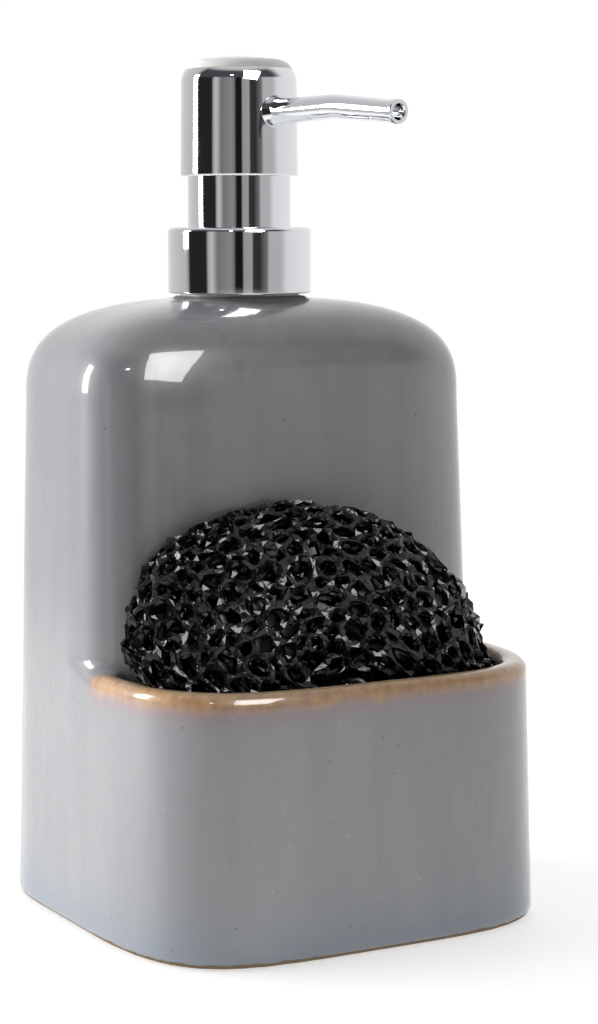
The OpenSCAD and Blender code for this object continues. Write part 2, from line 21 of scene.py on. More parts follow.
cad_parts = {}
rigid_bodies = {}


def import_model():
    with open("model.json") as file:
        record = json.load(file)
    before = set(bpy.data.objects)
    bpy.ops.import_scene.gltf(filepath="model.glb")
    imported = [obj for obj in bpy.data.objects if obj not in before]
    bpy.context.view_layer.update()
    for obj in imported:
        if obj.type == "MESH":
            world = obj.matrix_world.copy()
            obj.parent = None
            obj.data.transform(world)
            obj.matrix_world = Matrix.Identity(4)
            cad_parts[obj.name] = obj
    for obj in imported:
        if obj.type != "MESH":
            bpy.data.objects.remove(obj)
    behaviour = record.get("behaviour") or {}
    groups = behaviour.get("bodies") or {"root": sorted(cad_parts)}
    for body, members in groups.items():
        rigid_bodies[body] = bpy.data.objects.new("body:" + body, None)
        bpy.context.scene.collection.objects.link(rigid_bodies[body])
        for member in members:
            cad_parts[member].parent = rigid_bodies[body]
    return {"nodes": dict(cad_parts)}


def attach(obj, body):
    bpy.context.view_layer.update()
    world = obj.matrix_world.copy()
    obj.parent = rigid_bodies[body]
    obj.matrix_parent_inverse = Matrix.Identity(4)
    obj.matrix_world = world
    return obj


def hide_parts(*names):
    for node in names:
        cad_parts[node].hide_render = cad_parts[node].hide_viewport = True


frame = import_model()

log = logging.getLogger("dispenser")
MM = 0.001
CAMERA_SIDE = 240.86
AIM_HEIGHT = 0.09
Colour = tuple[float, float, float]
Piece = bpy.types.Object
Material = bpy.types.Material
NodeTree = bpy.types.NodeTree
Node = bpy.types.Node
Socket = bpy.types.NodeSocket
Profile = list[tuple[float, float]]


def grey(level: int, tint: tuple[int, int, int] = (0, 0, 0)) -> Colour:
    """Linear colour of an 8-bit grey with a small tint added to its channels."""
    values = []
    for offset in tint:
        v = (level + offset) / 255.0
        values.append(v / 12.92 if v <= 0.04045 else ((v + 0.055) / 1.055) ** 2.4)
    return values[0], values[1], values[2]


# --------------------------------------------------------------------------
# Meshes
# --------------------------------------------------------------------------


def link_mesh(name: str, mesh: bpy.types.Mesh) -> Piece:
    """Put a mesh in the scene as an object at the origin."""
    piece = bpy.data.objects.new(name, mesh)
    bpy.context.scene.collection.objects.link(piece)
    return piece


def mesh_piece(name: str, verts: Sequence, faces: Sequence) -> Piece:
    """Make a smooth-shaded object from points in millimetres.

    Args:
        name: name of the object.
        verts: points in millimetres.
        faces: index loops, seen from outside anticlockwise.

    Returns:
        The new object.
    """
    mesh = bpy.data.meshes.new(name)
    mesh.from_pydata([tuple(c * MM for c in v) for v in verts], [], [tuple(f) for f in faces])
    mesh.update()
    mesh.shade_smooth()
    return link_mesh(name, mesh)


def outward(piece: Piece) -> Piece:
    """Merge doubles and turn every face of a closed mesh outwards."""
    bm = bmesh.new()
    bm.from_mesh(piece.data)
    bmesh.ops.remove_doubles(bm, verts=bm.verts, dist=1e-7)
    bmesh.ops.recalc_face_normals(bm, faces=bm.faces)
    bm.to_mesh(piece.data)
    bm.free()
    return piece


def sharpen(piece: Piece, degrees: float = 35.0) -> Piece:
    """Mark the edges sharper than an angle, so that flats stay crisp."""
    bm = bmesh.new()
    bm.from_mesh(piece.data)
    for edge in bm.edges:
        if len(edge.link_faces) == 2:
            edge.smooth = edge.calc_face_angle(0.0) < math.radians(degrees)
    bm.to_mesh(piece.data)
    bm.free()
    return piece


def arc(cx: float, cz: float, r: float, start: float, end: float, steps: int) -> Profile:
    """Points of an arc in the (radius, height) plane, angles in degrees."""
    turns = [math.radians(start + (end - start) * i / steps) for i in range(steps + 1)]
    return [(cx + r * math.cos(a), cz + r * math.sin(a)) for a in turns]


def lathe(name: str, profile: Profile, axis_y: float, steps: int) -> Piece:
    """Turn a closed profile round a vertical axis.

    Args:
        name: name of the object.
        profile: closed loop of (radius, height) points in millimetres.
        axis_y: place of the axis along Y.
        steps: number of steps round the axis.

    Returns:
        The turned piece, closed at its poles.
    """
    verts: list[tuple[float, float, float]] = []
    rings: list[list[int]] = []
    for r, z in profile:
        if r < 1e-6:
            verts.append((0.0, axis_y, z))
            rings.append([len(verts) - 1] * steps)
            continue
        ring = []
        for i in range(steps):
            a = 2 * math.pi * i / steps
            verts.append((r * math.cos(a), axis_y + r * math.sin(a), z))
            ring.append(len(verts) - 1)
        rings.append(ring)
    faces = []
    for j in range(len(rings)):
        low, high = rings[j], rings[(j + 1) % len(rings)]
        for i in range(steps):
            k = (i + 1) % steps
            loop = [low[i], low[k], high[k], high[i]]
            loop = [v for n, v in enumerate(loop) if v != loop[n - 1]]
            if len(set(loop)) >= 3:
                faces.append(loop)
    return sharpen(outward(mesh_piece(name, verts, faces)))


def surface_net(values: np.ndarray, low: np.ndarray, step: float) -> tuple[np.ndarray, np.ndarray]:
    """Quads along the zero of a field that is negative inside.

    Args:
        values: the field on a regular grid.
        low: the grid's lowest corner.
        step: the grid's spacing.

    Returns:
        Points and quads, one point in each cell that the surface crosses.
    """
    inside = values < 0
    shape = np.array(values.shape) - 1
    total = np.zeros(tuple(shape) + (3,))
    count = np.zeros(tuple(shape))
    corner = [np.array((i, j, k)) for i in (0, 1) for j in (0, 1) for k in (0, 1)]

    def view(grid: np.ndarray, c: np.ndarray) -> np.ndarray:
        """The grid's values at one corner of every cell."""
        return grid[c[0]:c[0] + shape[0], c[1]:c[1] + shape[1], c[2]:c[2] + shape[2]]

    for a in corner:
        for axis in range(3):
            if a[axis]:
                continue
            b = a.copy()
            b[axis] = 1
            va, vb = view(values, a), view(values, b)
            cross = view(inside, a) != view(inside, b)
            t = np.where(cross, va / np.where(cross, va - vb, 1.0), 0.0)
            for d in range(3):
                total[..., d] += np.where(cross, a[d] + (t if d == axis else 0.0), 0.0)
            count += cross
    active = count > 0
    index = np.full(tuple(shape), -1, dtype=np.int64)
    index[active] = np.arange(active.sum())
    cells = np.argwhere(active)
    points = low + step * (cells + total[active] / count[active][:, None])
    quads = []
    for axis in range(3):
        u, v = (axis + 1) % 3, (axis + 2) % 3
        first = [slice(1, -1)] * 3
        second = [slice(1, -1)] * 3
        first[axis], second[axis] = slice(0, -1), slice(1, None)
        s0, s1 = inside[tuple(first)], inside[tuple(second)]
        edges = np.argwhere(s0 != s1)
        solid_first = s0[tuple(edges.T)]
        base = edges.copy()
        base[:, u] += 1
        base[:, v] += 1
        loop = []
        for du, dv in ((-1, -1), (0, -1), (0, 0), (-1, 0)):
            c = base.copy()
            c[:, u] += du
            c[:, v] += dv
            loop.append(index[tuple(c.T)])
        quad = np.stack(loop, 1)
        quad[~solid_first] = quad[~solid_first][:, ::-1]
        quads.append(quad)
    return points, np.concatenate(quads)


def settle(points: np.ndarray, quads: np.ndarray, field_of: Callable[[np.ndarray], np.ndarray],
           rounds: int = 6) -> np.ndarray:
    """Even out a net's points and pull them exactly onto the field's surface.

    Args:
        points: the net's points.
        quads: the net's quads.
        field_of: the field at any points.
        rounds: how often points are evened out.

    Returns:
        The settled points.
    """
    edges = np.concatenate([quads[:, [i, (i + 1) % 4]] for i in range(4)])

    def slope(p: np.ndarray) -> np.ndarray:
        """Gradient of the field by central differences."""
        g = np.zeros_like(p)
        for d in range(3):
            e = np.zeros(3)
            e[d] = 0.02
            g[:, d] = (field_of(p + e) - field_of(p - e)) / 0.04
        return g

    def onto(p: np.ndarray, limit: float) -> np.ndarray:
        """One Newton step onto the surface."""
        g = slope(p)
        move = -field_of(p)[:, None] * g / np.maximum((g * g).sum(1, keepdims=True), 0.05)
        size = np.linalg.norm(move, axis=1, keepdims=True)
        return p + move * np.minimum(1.0, limit / np.maximum(size, 1e-9))

    for _ in range(3):
        points = onto(points, 0.8)
    for _ in range(rounds):
        mean = np.zeros_like(points)
        count = np.zeros(len(points))
        for a, b in ((0, 1), (1, 0)):
            np.add.at(mean, edges[:, a], points[edges[:, b]])
            np.add.at(count, edges[:, a], 1)
        mean /= count[:, None]
        g = slope(points)
        normal = g / np.maximum(np.linalg.norm(g, axis=1, keepdims=True), 1e-9)
        move = mean - points
        move -= normal * (move * normal).sum(1, keepdims=True)
        points = onto(points + 0.6 * move, 0.4)
    return onto(points, 0.2)


def net_piece(name: str, points: np.ndarray, quads: np.ndarray) -> Piece:
    """An object from a settled net in millimetres."""
    mesh = bpy.data.meshes.new(name)
    mesh.vertices.add(len(points))
    mesh.vertices.foreach_set("co", (points * MM).astype(np.float32).ravel())
    mesh.loops.add(quads.size)
    mesh.loops.foreach_set("vertex_index", quads.astype(np.int32).ravel())
    mesh.polygons.add(len(quads))
    mesh.polygons.foreach_set("loop_start", np.arange(0, quads.size, 4, dtype=np.int32))
    mesh.update(calc_edges=True)
    mesh.validate()
    mesh.shade_smooth()
    return link_mesh(name, mesh)


def paint(piece: Piece, name: str, values: np.ndarray) -> None:
    """Store one number per point for a material to read."""
    layer = piece.data.attributes.new(name, "FLOAT", "POINT")
    layer.data.foreach_set("value", values.astype(np.float32))


# --------------------------------------------------------------------------
# Solid fields, in millimetres and negative inside
# --------------------------------------------------------------------------


def smooth(x: np.ndarray, a: float, b: float) -> np.ndarray:
    """Smooth step from 0 at a to 1 at b."""
    t = np.clip((x - a) / (b - a), 0.0, 1.0)
    return t * t * (3.0 - 2.0 * t)


def meet(a: np.ndarray, b: np.ndarray, r: float) -> np.ndarray:
    """Common part of two solids, its edge rounded to radius r."""
    return np.minimum(np.maximum(a, b), -r) + np.hypot(np.maximum(a + r, 0), np.maximum(b + r, 0))


def join(a: np.ndarray, b: np.ndarray, r: float | np.ndarray) -> np.ndarray:
    """Two solids together, with a fillet of radius r in their corner."""
    return np.maximum(np.minimum(a, b), r) - np.hypot(np.maximum(r - a, 0), np.maximum(r - b, 0))


def plan_gap(x: np.ndarray, y: np.ndarray, a: np.ndarray, front: np.ndarray, back: np.ndarray,
             fullness: tuple[float, float]) -> tuple[np.ndarray, np.ndarray]:
    """Signed gap to a superellipse plan whose widest line is y = 0.

    Args:
        x: places across.
        y: places along the depth.
        a: half width.
        front: depth in front of the widest line.
        back: depth behind it.
        fullness: exponents of the front and the rear corners.

    Returns:
        The gap along the ray from the middle, and the plan's own measure.
    """
    n = np.where(y < 0, fullness[0], fullness[1])
    b = np.where(y < 0, front, back)
    g = (np.abs(x / a) ** n + np.abs(y / b) ** n) ** (1.0 / n)
    g = np.maximum(g, 1e-4)
    return np.hypot(x, y) * (1.0 - 1.0 / g), g


# --------------------------------------------------------------------------
# Shader building
# --------------------------------------------------------------------------


@dataclass
class Tree:
    """A node tree being wired, with short ways to add and join its nodes."""

    tree: NodeTree

    def node(self, kind: str, **values: object) -> Node:
        """Add a node; keys are its properties, or input names with _ for spaces.

        Args:
            kind: the node's type name.
            values: properties, or numbers, colours and sockets for its inputs.

        Returns:
            The new node.
        """
        node = self.tree.nodes.new(kind)
        later = {}
        for key, value in values.items():
            if hasattr(node, key) and key not in ("inputs", "color", "width", "height", "location"):
                setattr(node, key, value)
            else:
                later[key] = value
        for key, value in later.items():
            self.feed(node, key, value)
        return node

    def out(self, kind: str, **values: object) -> Socket:
        """Add a node and give its first output."""
        return self.node(kind, **values).outputs[0]

    def feed(self, node: Node, key: str, value: object) -> None:
        """Set or wire one input of a node, named in words or by its number."""
        if key.startswith("in_"):
            socket = node.inputs[int(key[3:])]
        else:
            socket = next(s for s in node.inputs if s.name.lower() == key.replace("_", " ").lower())
        if isinstance(value, Socket):
            self.tree.links.new(value, socket)
        elif isinstance(value, tuple) and len(value) == 3 and socket.type == "RGBA":
            socket.default_value = (*value, 1.0)
        else:
            socket.default_value = value

    def maths(self, kind: str, a: object, b: object = 0.0, c: object = 0.0) -> Socket:
        """A Math node's result."""
        return self.out("ShaderNodeMath", operation=kind, in_0=a, in_1=b, in_2=c)

    def mix(self, share: object, a: object, b: object) -> Socket:
        """Mix two colours."""
        return self.node("ShaderNodeMix", data_type="RGBA", in_0=share, in_6=a, in_7=b).outputs[2]

    def band(self, value: object, low: float, high: float,
             out_low: float = 0.0, out_high: float = 1.0) -> Socket:
        """Smooth step of a value between two limits."""
        return self.out("ShaderNodeMapRange", interpolation_type="SMOOTHSTEP", clamp=True,
                        in_0=value, in_1=low, in_2=high, in_3=out_low, in_4=out_high)

    def noise(self, place: object, scale: object, detail: float = 2.0,
              roughness: float = 0.5) -> Socket:
        """Noise between 0 and 1."""
        return self.out("ShaderNodeTexNoise", vector=place, scale=scale, detail=detail,
                        roughness=roughness)

    def bump(self, strength: float, depth: float, height: Socket) -> Socket:
        """A bumped normal, its depth in metres."""
        return self.out("ShaderNodeBump", in_0=strength, in_1=depth, Height=height)

    def place(self, scale: tuple[float, float, float] = (1.0, 1.0, 1.0)) -> Socket:
        """Object coordinates, stretched."""
        coord = self.node("ShaderNodeTexCoord").outputs["Object"]
        return self.out("ShaderNodeMapping", in_0=coord, in_3=scale)


def new_material(name: str) -> tuple[Material, Tree, Node]:
    """A material with only a Principled shader, its tree and that shader."""
    material = bpy.data.materials.new(name)
    material.use_nodes = True
    material.node_tree.nodes.clear()
    tree = Tree(material.node_tree)
    shader = tree.node("ShaderNodeBsdfPrincipled")
    out = tree.node("ShaderNodeOutputMaterial")
    tree.tree.links.new(shader.outputs[0], out.inputs[0])
    return material, tree, shader


def new_group(name: str, inputs: Sequence[tuple[str, str, object]],
              outputs: Sequence[tuple[str, str]]) -> tuple[Tree, Node, Node]:
    """A shader node group with named sockets.

    Args:
        name: name of the group.
        inputs: name, socket type and default of each input.
        outputs: name and socket type of each output.

    Returns:
        The group's tree, its input node and its output node.
    """
    group = bpy.data.node_groups.new(name, "ShaderNodeTree")
    for label, kind, default in inputs:
        socket = group.interface.new_socket(name=label, in_out="INPUT", socket_type=kind)
        if kind == "NodeSocketColor":
            socket.default_value = (*default, 1.0)
        elif default is not None:
            socket.default_value = default
    for label, kind in outputs:
        group.interface.new_socket(name=label, in_out="OUTPUT", socket_type=kind)
    tree = Tree(group)
    return tree, group.nodes.new("NodeGroupInput"), group.nodes.new("NodeGroupOutput")


class SharedEffects:
    """Node groups that several finishes use."""

    def __init__(self) -> None:
        """Build each group once."""
        self.grain = self._grain()
        self.wipe_marks = self._wipe_marks()

    def _grain(self) -> NodeTree:
        """Fine moulded or cast grain: a height and a small change of colour."""
        tree, given, out = new_group(
            "surface_grain",
            [("Scale", "NodeSocketFloat", 900.0), ("Depth", "NodeSocketFloat", 1.0),
             ("Colour", "NodeSocketColor", (0.8, 0.8, 0.8)), ("Variation", "NodeSocketFloat", 0.1)],
            [("Colour", "NodeSocketColor"), ("Height", "NodeSocketFloat")])
        coord = tree.node("ShaderNodeTexCoord").outputs["Object"]
        fine = tree.noise(coord, given.outputs[0], 3.0)
        broad = tree.noise(coord, 120.0, 3.0)
        shade = tree.maths("MULTIPLY", tree.maths("SUBTRACT", broad, 0.5), given.outputs[3])
        shade = tree.maths("ADD", 1.0, shade)
        tinted = tree.node("ShaderNodeVectorMath", operation="SCALE", in_0=given.outputs[2])
        tree.tree.links.new(shade, tinted.inputs[3])
        tree.tree.links.new(tinted.outputs[0], out.inputs[0])
        tree.tree.links.new(tree.maths("MULTIPLY", fine, given.outputs[1]), out.inputs[1])
        return tree.tree

    def _wipe_marks(self) -> NodeTree:
        """Faint smears that change how sharp a polished surface reflects."""
        tree, given, out = new_group(
            "wipe_marks",
            [("Base Roughness", "NodeSocketFloat", 0.03), ("Smear", "NodeSocketFloat", 0.03),
             ("Scale", "NodeSocketFloat", 40.0)],
            [("Roughness", "NodeSocketFloat")])
        coord = tree.node("ShaderNodeTexCoord").outputs["Object"]
        cloud = tree.noise(coord, given.outputs[2], 5.0, 0.65)
        smear = tree.band(cloud, 0.48, 0.72)
        result = tree.maths("MULTIPLY_ADD", smear, given.outputs[1], given.outputs[0])
        tree.tree.links.new(result, out.inputs[0])
        return tree.tree

    def smears(self, t: Tree, roughness: float, smear: float, scale: float) -> Socket:
        """Roughness with wipe marks over it."""
        return self.use(t, self.wipe_marks, Base_Roughness=roughness, Smear=smear,
                        Scale=scale).outputs[0]

    @staticmethod
    def use(tree: Tree, group: NodeTree, **values: object) -> Node:
        """Place a group in a material with its own values."""
        node = tree.tree.nodes.new("ShaderNodeGroup")
        node.node_tree = group
        for key, value in values.items():
            tree.feed(node, key, value)
        return node


@dataclass(frozen=True)
class GlazeFinish:
    """Glossy reactive glaze over a buff clay body."""

    body: Colour = grey(138, (-1, 0, 3))
    deep: Colour = grey(130, (-1, 0, 3))
    pale: Colour = grey(145, (0, 1, 3))
    rim: Colour = grey(162, (32, -8, -56))
    rim_deep: Colour = grey(140, (28, -14, -54))
    blush: Colour = grey(132, (18, -7, -4))
    pool: Colour = grey(132, (-12, 0, 14))
    # Dark brown painted shade for the tray's pocket and the reservoir's cavity, not a colour of the
    # glaze.
    tray: Colour = grey(34, (6, 0, -3))
    clay: Colour = grey(104, (14, -4, -26))
    roughness: float = 0.3
    pool_depth: float = 0.016

    def material(self, shared: SharedEffects) -> Material:
        """Build the glaze.

        Args:
            shared: the node groups for grain and smears.

        Returns:
            The material. It reads the body's attributes rim, inside and bare; inside carries the
            painted shade of the tray's pocket and the cavity.
        """
        material, t, shader = new_material("reactive_glaze")
        coord = t.node("ShaderNodeTexCoord").outputs["Object"]
        z = t.node("ShaderNodeSeparateXYZ", in_0=coord).outputs[2]
        streak = t.noise(t.place((1.0, 1.0, 0.16)), 95.0, 4.0, 0.6)
        cloud = t.noise(t.place(), 28.0, 3.0, 0.55)
        mottle = t.noise(t.place((1.0, 1.0, 0.6)), 420.0, 3.0, 0.6)
        colour = t.mix(t.band(streak, 0.36, 0.64), self.deep, self.pale)
        colour = t.mix(t.band(cloud, 0.35, 0.65, 0.72, 0.45), colour, self.body)
        colour = t.mix(t.band(mottle, 0.3, 0.75, 0.0, 0.16), colour, self.deep)
        colour = t.mix(t.band(mottle, 0.62, 0.8, 0.0, 0.20), colour, self.pale)
        # Ragged runs of glaze below the rim.
        rim = t.node("ShaderNodeAttribute", attribute_name="rim").outputs["Fac"]
        drips = t.noise(t.place((1.0, 1.0, 0.22)), 150.0, 3.0, 0.6)
        reach = t.maths("MULTIPLY_ADD", t.maths("SUBTRACT", drips, 0.5), 0.34, rim)
        colour = t.mix(t.band(reach, 0.18, 0.62, 0.0, 0.75), colour, self.blush)
        tan = t.mix(t.band(mottle, 0.35, 0.7), self.rim, self.rim_deep)
        colour = t.mix(t.band(reach, 0.50, 0.86, 0.0, 0.95), colour, tan)
        # The glaze thins to show the clay on the crest.
        crest = t.band(rim, 0.965, 1.0, 0.0, 0.45)
        colour = t.mix(crest, colour, grey(186, (10, -4, -34)))
        # A bluer pool where the glaze gathers above the foot.
        low = t.maths("MULTIPLY_ADD", t.maths("SUBTRACT", drips, 0.5), 0.012, z)
        colour = t.mix(t.band(low, 0.0, self.pool_depth, 0.65, 0.0), colour, self.pool)
        # Painted shade: the tray's pocket darkens with depth below the rim, and the walls of the
        # cavity and the neck's bore are darkened too.
        inside = t.node("ShaderNodeAttribute", attribute_name="inside").outputs["Fac"]
        colour = t.mix(t.band(inside, 0.3, 0.9, 0.0, 0.9), colour, self.tray)
        # Pinholes and iron specks.
        specks = t.node("ShaderNodeTexVoronoi", vector=t.place(), scale=330.0).outputs["Distance"]
        pick = t.noise(t.place(), 190.0, 0.0)
        dark = t.maths("MULTIPLY", t.band(specks, 0.06, 0.12, 1.0, 0.0), t.band(pick, 0.60, 0.64))
        colour = t.mix(t.maths("MULTIPLY", dark, 0.55), colour, grey(70, (8, 0, -10)))
        light = t.maths("MULTIPLY", t.band(specks, 0.06, 0.14, 1.0, 0.0),
                        t.band(pick, 0.36, 0.40, 1.0, 0.0))
        colour = t.mix(t.maths("MULTIPLY", light, 0.16), colour, grey(215))
        bare = t.node("ShaderNodeAttribute", attribute_name="bare").outputs["Fac"]
        grain = shared.use(t, shared.grain, Scale=1500.0, Depth=1.0, Colour=self.clay,
                           Variation=0.3)
        colour = t.mix(t.band(bare, 0.45, 0.55), colour, grain.outputs[0])
        t.feed(shader, "Base Color", colour)
        rough = t.band(mottle, 0.3, 0.8, self.roughness, self.roughness + 0.10)
        rough = t.maths("MULTIPLY_ADD", t.band(bare, 0.45, 0.55), 0.5, rough)
        t.feed(shader, "Roughness", rough)
        # The glaze lies in soft waves, with a dimple at each pinhole.
        wave = t.noise(t.place(), 55.0, 1.0)
        ripple = t.noise(t.place(), 260.0, 2.0)
        height = t.maths("MULTIPLY_ADD", wave, 0.9, t.maths("MULTIPLY", ripple, 0.10))
        height = t.maths("SUBTRACT", height, t.maths("MULTIPLY", dark, 0.05))
        bump = t.bump(0.5, 0.0002, height)
        t.feed(shader, "Normal", bump)
        t.feed(shader, "Coat Weight", t.band(bare, 0.45, 0.55, 1.0, 0.0))
        t.feed(shader, "Coat Roughness", 0.035)
        t.feed(shader, "Coat IOR", 1.55)
        t.feed(shader, "IOR", 1.5)
        t.feed(shader, "Coat Normal", bump)
        return material


@dataclass(frozen=True)
class ChromeFinish:
    """Polished chrome plate with faint wiping marks."""

    name: str = "polished_chrome"
    colour: Colour = (0.80, 0.81, 0.83)
    roughness: float = 0.035

    def material(self, shared: SharedEffects) -> Material:
        """Build the chrome."""
        material, t, shader = new_material(self.name)
        t.feed(shader, "Roughness", shared.smears(t, self.roughness, 0.035, 70.0))
        tone = t.noise(t.place(), 35.0, 2.0)
        t.feed(shader, "Base Color", t.mix(t.band(tone, 0.3, 0.7), self.colour,
                                           tuple(0.96 * c for c in self.colour)))
        t.feed(shader, "Metallic", 1.0)
        wave = t.noise(t.place((1.0, 1.0, 0.5)), 160.0, 1.0)
        bump = t.bump(0.08, 0.0001, wave)
        t.feed(shader, "Normal", bump)
        return material


@dataclass(frozen=True)
class MouldedFinish:
    """Moulded plastic or rubber with a fine grain."""

    name: str
    colour: Colour
    roughness: float = 0.4
    grain: float = 1400.0
    depth: float = 0.00003
    variation: float = 0.12
    subsurface: float = 0.0
    metallic: float = 0.0

    def material(self, shared: SharedEffects) -> Material:
        """Build the moulded finish."""
        material, t, shader = new_material(self.name)
        grain = shared.use(t, shared.grain, Scale=self.grain, Depth=1.0, Colour=self.colour,
                           Variation=self.variation)
        t.feed(shader, "Base Color", grain.outputs[0])
        t.feed(shader, "Roughness", shared.smears(t, self.roughness, 0.12, 90.0))
        bump = t.bump(0.5, self.depth, grain.outputs[1])
        t.feed(shader, "Normal", bump)
        t.feed(shader, "Metallic", self.metallic)
        if self.subsurface:
            t.feed(shader, "Subsurface Weight", self.subsurface)
            t.feed(shader, "Subsurface Radius", (0.002, 0.002, 0.002))
        return material


@dataclass(frozen=True)
class ScourerFinish:
    """Glossy black knitted plastic strip."""

    colour: Colour = (0.003, 0.003, 0.004)
    roughness: float = 0.10

    def material(self, shared: SharedEffects) -> Material:
        """Build the strip's finish."""
        material, t, shader = new_material("black_strip")
        drawn = t.noise(t.place(), 900.0, 3.0)
        t.feed(shader, "Base Color", t.mix(t.band(drawn, 0.35, 0.7), self.colour,
                                           (0.009, 0.009, 0.011)))
        t.feed(shader, "Roughness", shared.smears(t, self.roughness, 0.16, 260.0))
        bump = t.bump(0.35, 0.0003, drawn)
        t.feed(shader, "Normal", bump)
        t.feed(shader, "IOR", 1.46)
        t.feed(shader, "Specular IOR Level", 0.5)
        return material


# --------------------------------------------------------------------------
# The ceramic body
# --------------------------------------------------------------------------


@dataclass
class CeramicBody:
    """Slip-cast reservoir with the tray on its front, one glazed piece."""

    width: float = 98.4
    depth: float = 93.0
    reservoir_depth: float = 65.4
    shoulder_start: float = 111.0
    shoulder_rise: float = 22.1
    shoulder_power: float = 2.9
    wall_draft: float = 1.4
    front_lean: float = 3.3
    rear_fullness: float = 4.2
    front_fullness: float = 4.4
    reservoir_fullness: float = 4.0
    base_round: float = 2.4
    wall: float = 4.5
    floor: float = 6.0
    foot_width: float = 9.0
    foot_recess: float = 1.2
    tray_height: float = 56.0
    tray_wall: float = 4.6
    tray_floor: float = 15.0
    rim_round: float = 2.1
    tray_corner_fillet: float = 2.5
    boss_radius: float = 14.4
    boss_top: float = 133.4
    boss_fillet: float = 1.2
    bore_radius: float = 10.8
    pump_y: float = 16.9
    widest_y: float = 13.8
    boss_root: float = 122.0
    bore_start: float = 118.0
    inner_round: float = 4.0
    tray_reach: float = 10.0
    rim_band: float = 9.5
    inner_rim_band: float = 4.5
    step: float = 1.2

    def _plan(self, p: np.ndarray, inset: float, front: np.ndarray, fullness: tuple[float, float],
              at: np.ndarray) -> tuple[np.ndarray, np.ndarray]:
        """Signed gap to a drafted plan at the heights given, and its measure."""
        lean = at * math.tan(math.radians(self.wall_draft))
        half = self.width / 2 - lean - inset
        back = self.depth / 2 - lean - self.widest_y - inset
        return plan_gap(p[:, 0], p[:, 1] - self.widest_y, half, front - inset, back, fullness)

    def reservoir(self, p: np.ndarray, inset: float = 0.0) -> np.ndarray:
        """The tall reservoir with its domed top.

        Args:
            p: points.
            inset: how far the surface is moved in, for the cavity.

        Returns:
            The field there.
        """
        z = p[:, 2]
        low = np.clip(z, 0.0, self.shoulder_start)
        front = self.widest_y + self.reservoir_depth - self.depth / 2
        front = front - low * math.tan(math.radians(self.front_lean))
        rise = self.shoulder_rise - inset
        u = np.maximum(z - self.shoulder_start, 0.0) / rise
        m = self.shoulder_power
        s = np.clip(1.0 - np.clip(u, 0, 1) ** m, 0.0, 1.0) ** (1.0 / m)
        moved = p.copy()
        moved[:, 1] -= (self.pump_y - self.widest_y) * (1.0 - s)
        gap, g = self._plan(moved, inset, front, (self.reservoir_fullness, self.rear_fullness), low)
        whole = (g ** m + u ** m) ** (1.0 / m)
        r = np.hypot(moved[:, 0], moved[:, 1] - self.widest_y)
        high = np.hypot(r, z - self.shoulder_start)
        return np.where(z > self.shoulder_start, high * (1.0 - 1.0 / whole), gap)

    def tray_plan(self, p: np.ndarray, inset: float = 0.0) -> np.ndarray:
        """The tray's outline carried to every height."""
        low = np.clip(p[:, 2], -5.0, self.shoulder_start)
        front = self.depth / 2 - low * math.tan(math.radians(self.wall_draft)) + self.widest_y
        return self._plan(p, inset, front, (self.front_fullness, self.rear_fullness), low)[0]

    def shell_of_tray(self, p: np.ndarray) -> np.ndarray:
        """Tray wall and floor, with a rounded rim."""
        z = p[:, 2]
        rear = p[:, 1] - (self.widest_y + self.tray_reach)
        solid = meet(meet(self.tray_plan(p), rear, 2.0), z - self.tray_height, self.rim_round)
        return meet(solid, -self.pocket(p), self.rim_round)

    def pocket(self, p: np.ndarray) -> np.ndarray:
        """The space inside the tray."""
        inner = self.tray_plan(p, self.tray_wall)
        return meet(inner, self.tray_floor - p[:, 2], self.inner_round)

    def cavity(self, p: np.ndarray) -> np.ndarray:
        """The space for the liquid and the neck's bore above it."""
        room = meet(self.reservoir(p, self.wall), self.floor - p[:, 2], self.inner_round)
        r = np.hypot(p[:, 0], p[:, 1] - self.pump_y)
        bore = np.maximum(r - self.bore_radius, self.bore_start - p[:, 2])
        return join(room, bore, 0.8)

    def field(self, p: np.ndarray) -> np.ndarray:
        """The whole ceramic piece.

        Args:
            p: points in millimetres, one row each.

        Returns:
            Negative in the clay, positive outside it.
        """
        z = p[:, 2]
        r = np.hypot(p[:, 0], p[:, 1] - self.pump_y)
        tall = self.reservoir(p)
        body = join(self.shell_of_tray(p), tall, self.tray_corner_fillet)
        # The fillet may fill the inner corner but never swell the outer wall.
        body = np.maximum(body, np.minimum(self.tray_plan(p), tall))
        boss = meet(r - self.boss_radius, np.maximum(z - self.boss_top, self.boss_root - z), 0.6)
        body = meet(join(body, boss, self.boss_fillet), z - self.boss_top, 0.3)
        body = meet(body, -z, self.base_round)
        recess = np.maximum(self.tray_plan(p, self.foot_width), z - self.foot_recess)
        body = meet(body, -recess, 0.4)
        return meet(body, -self.cavity(p), 0.7)

    def build(self) -> Piece:
        """Mesh the field, store the masks of the glaze and place the piece."""
        low = np.array([-self.width / 2 - 2, -self.depth / 2 - 2, -2.0]) + 0.37
        high = np.array([self.width / 2 + 2, self.depth / 2 + 2, self.boss_top + 2])
        axes = [np.arange(a, b, self.step) for a, b in zip(low, high)]
        grid = np.stack(np.meshgrid(*axes, indexing="ij"), -1)
        values = self.field(grid.reshape(-1, 3)).reshape(grid.shape[:3])
        points, quads = surface_net(values, low, self.step)
        points = settle(points, quads, self.field)
        piece = net_piece("glazed_body", points, quads)
        self._masks(piece, points)
        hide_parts("ceramic_body")
        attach(piece, "bottle")
        log.info("glazed_body: %d points, %d quads", len(points), len(quads))
        return piece

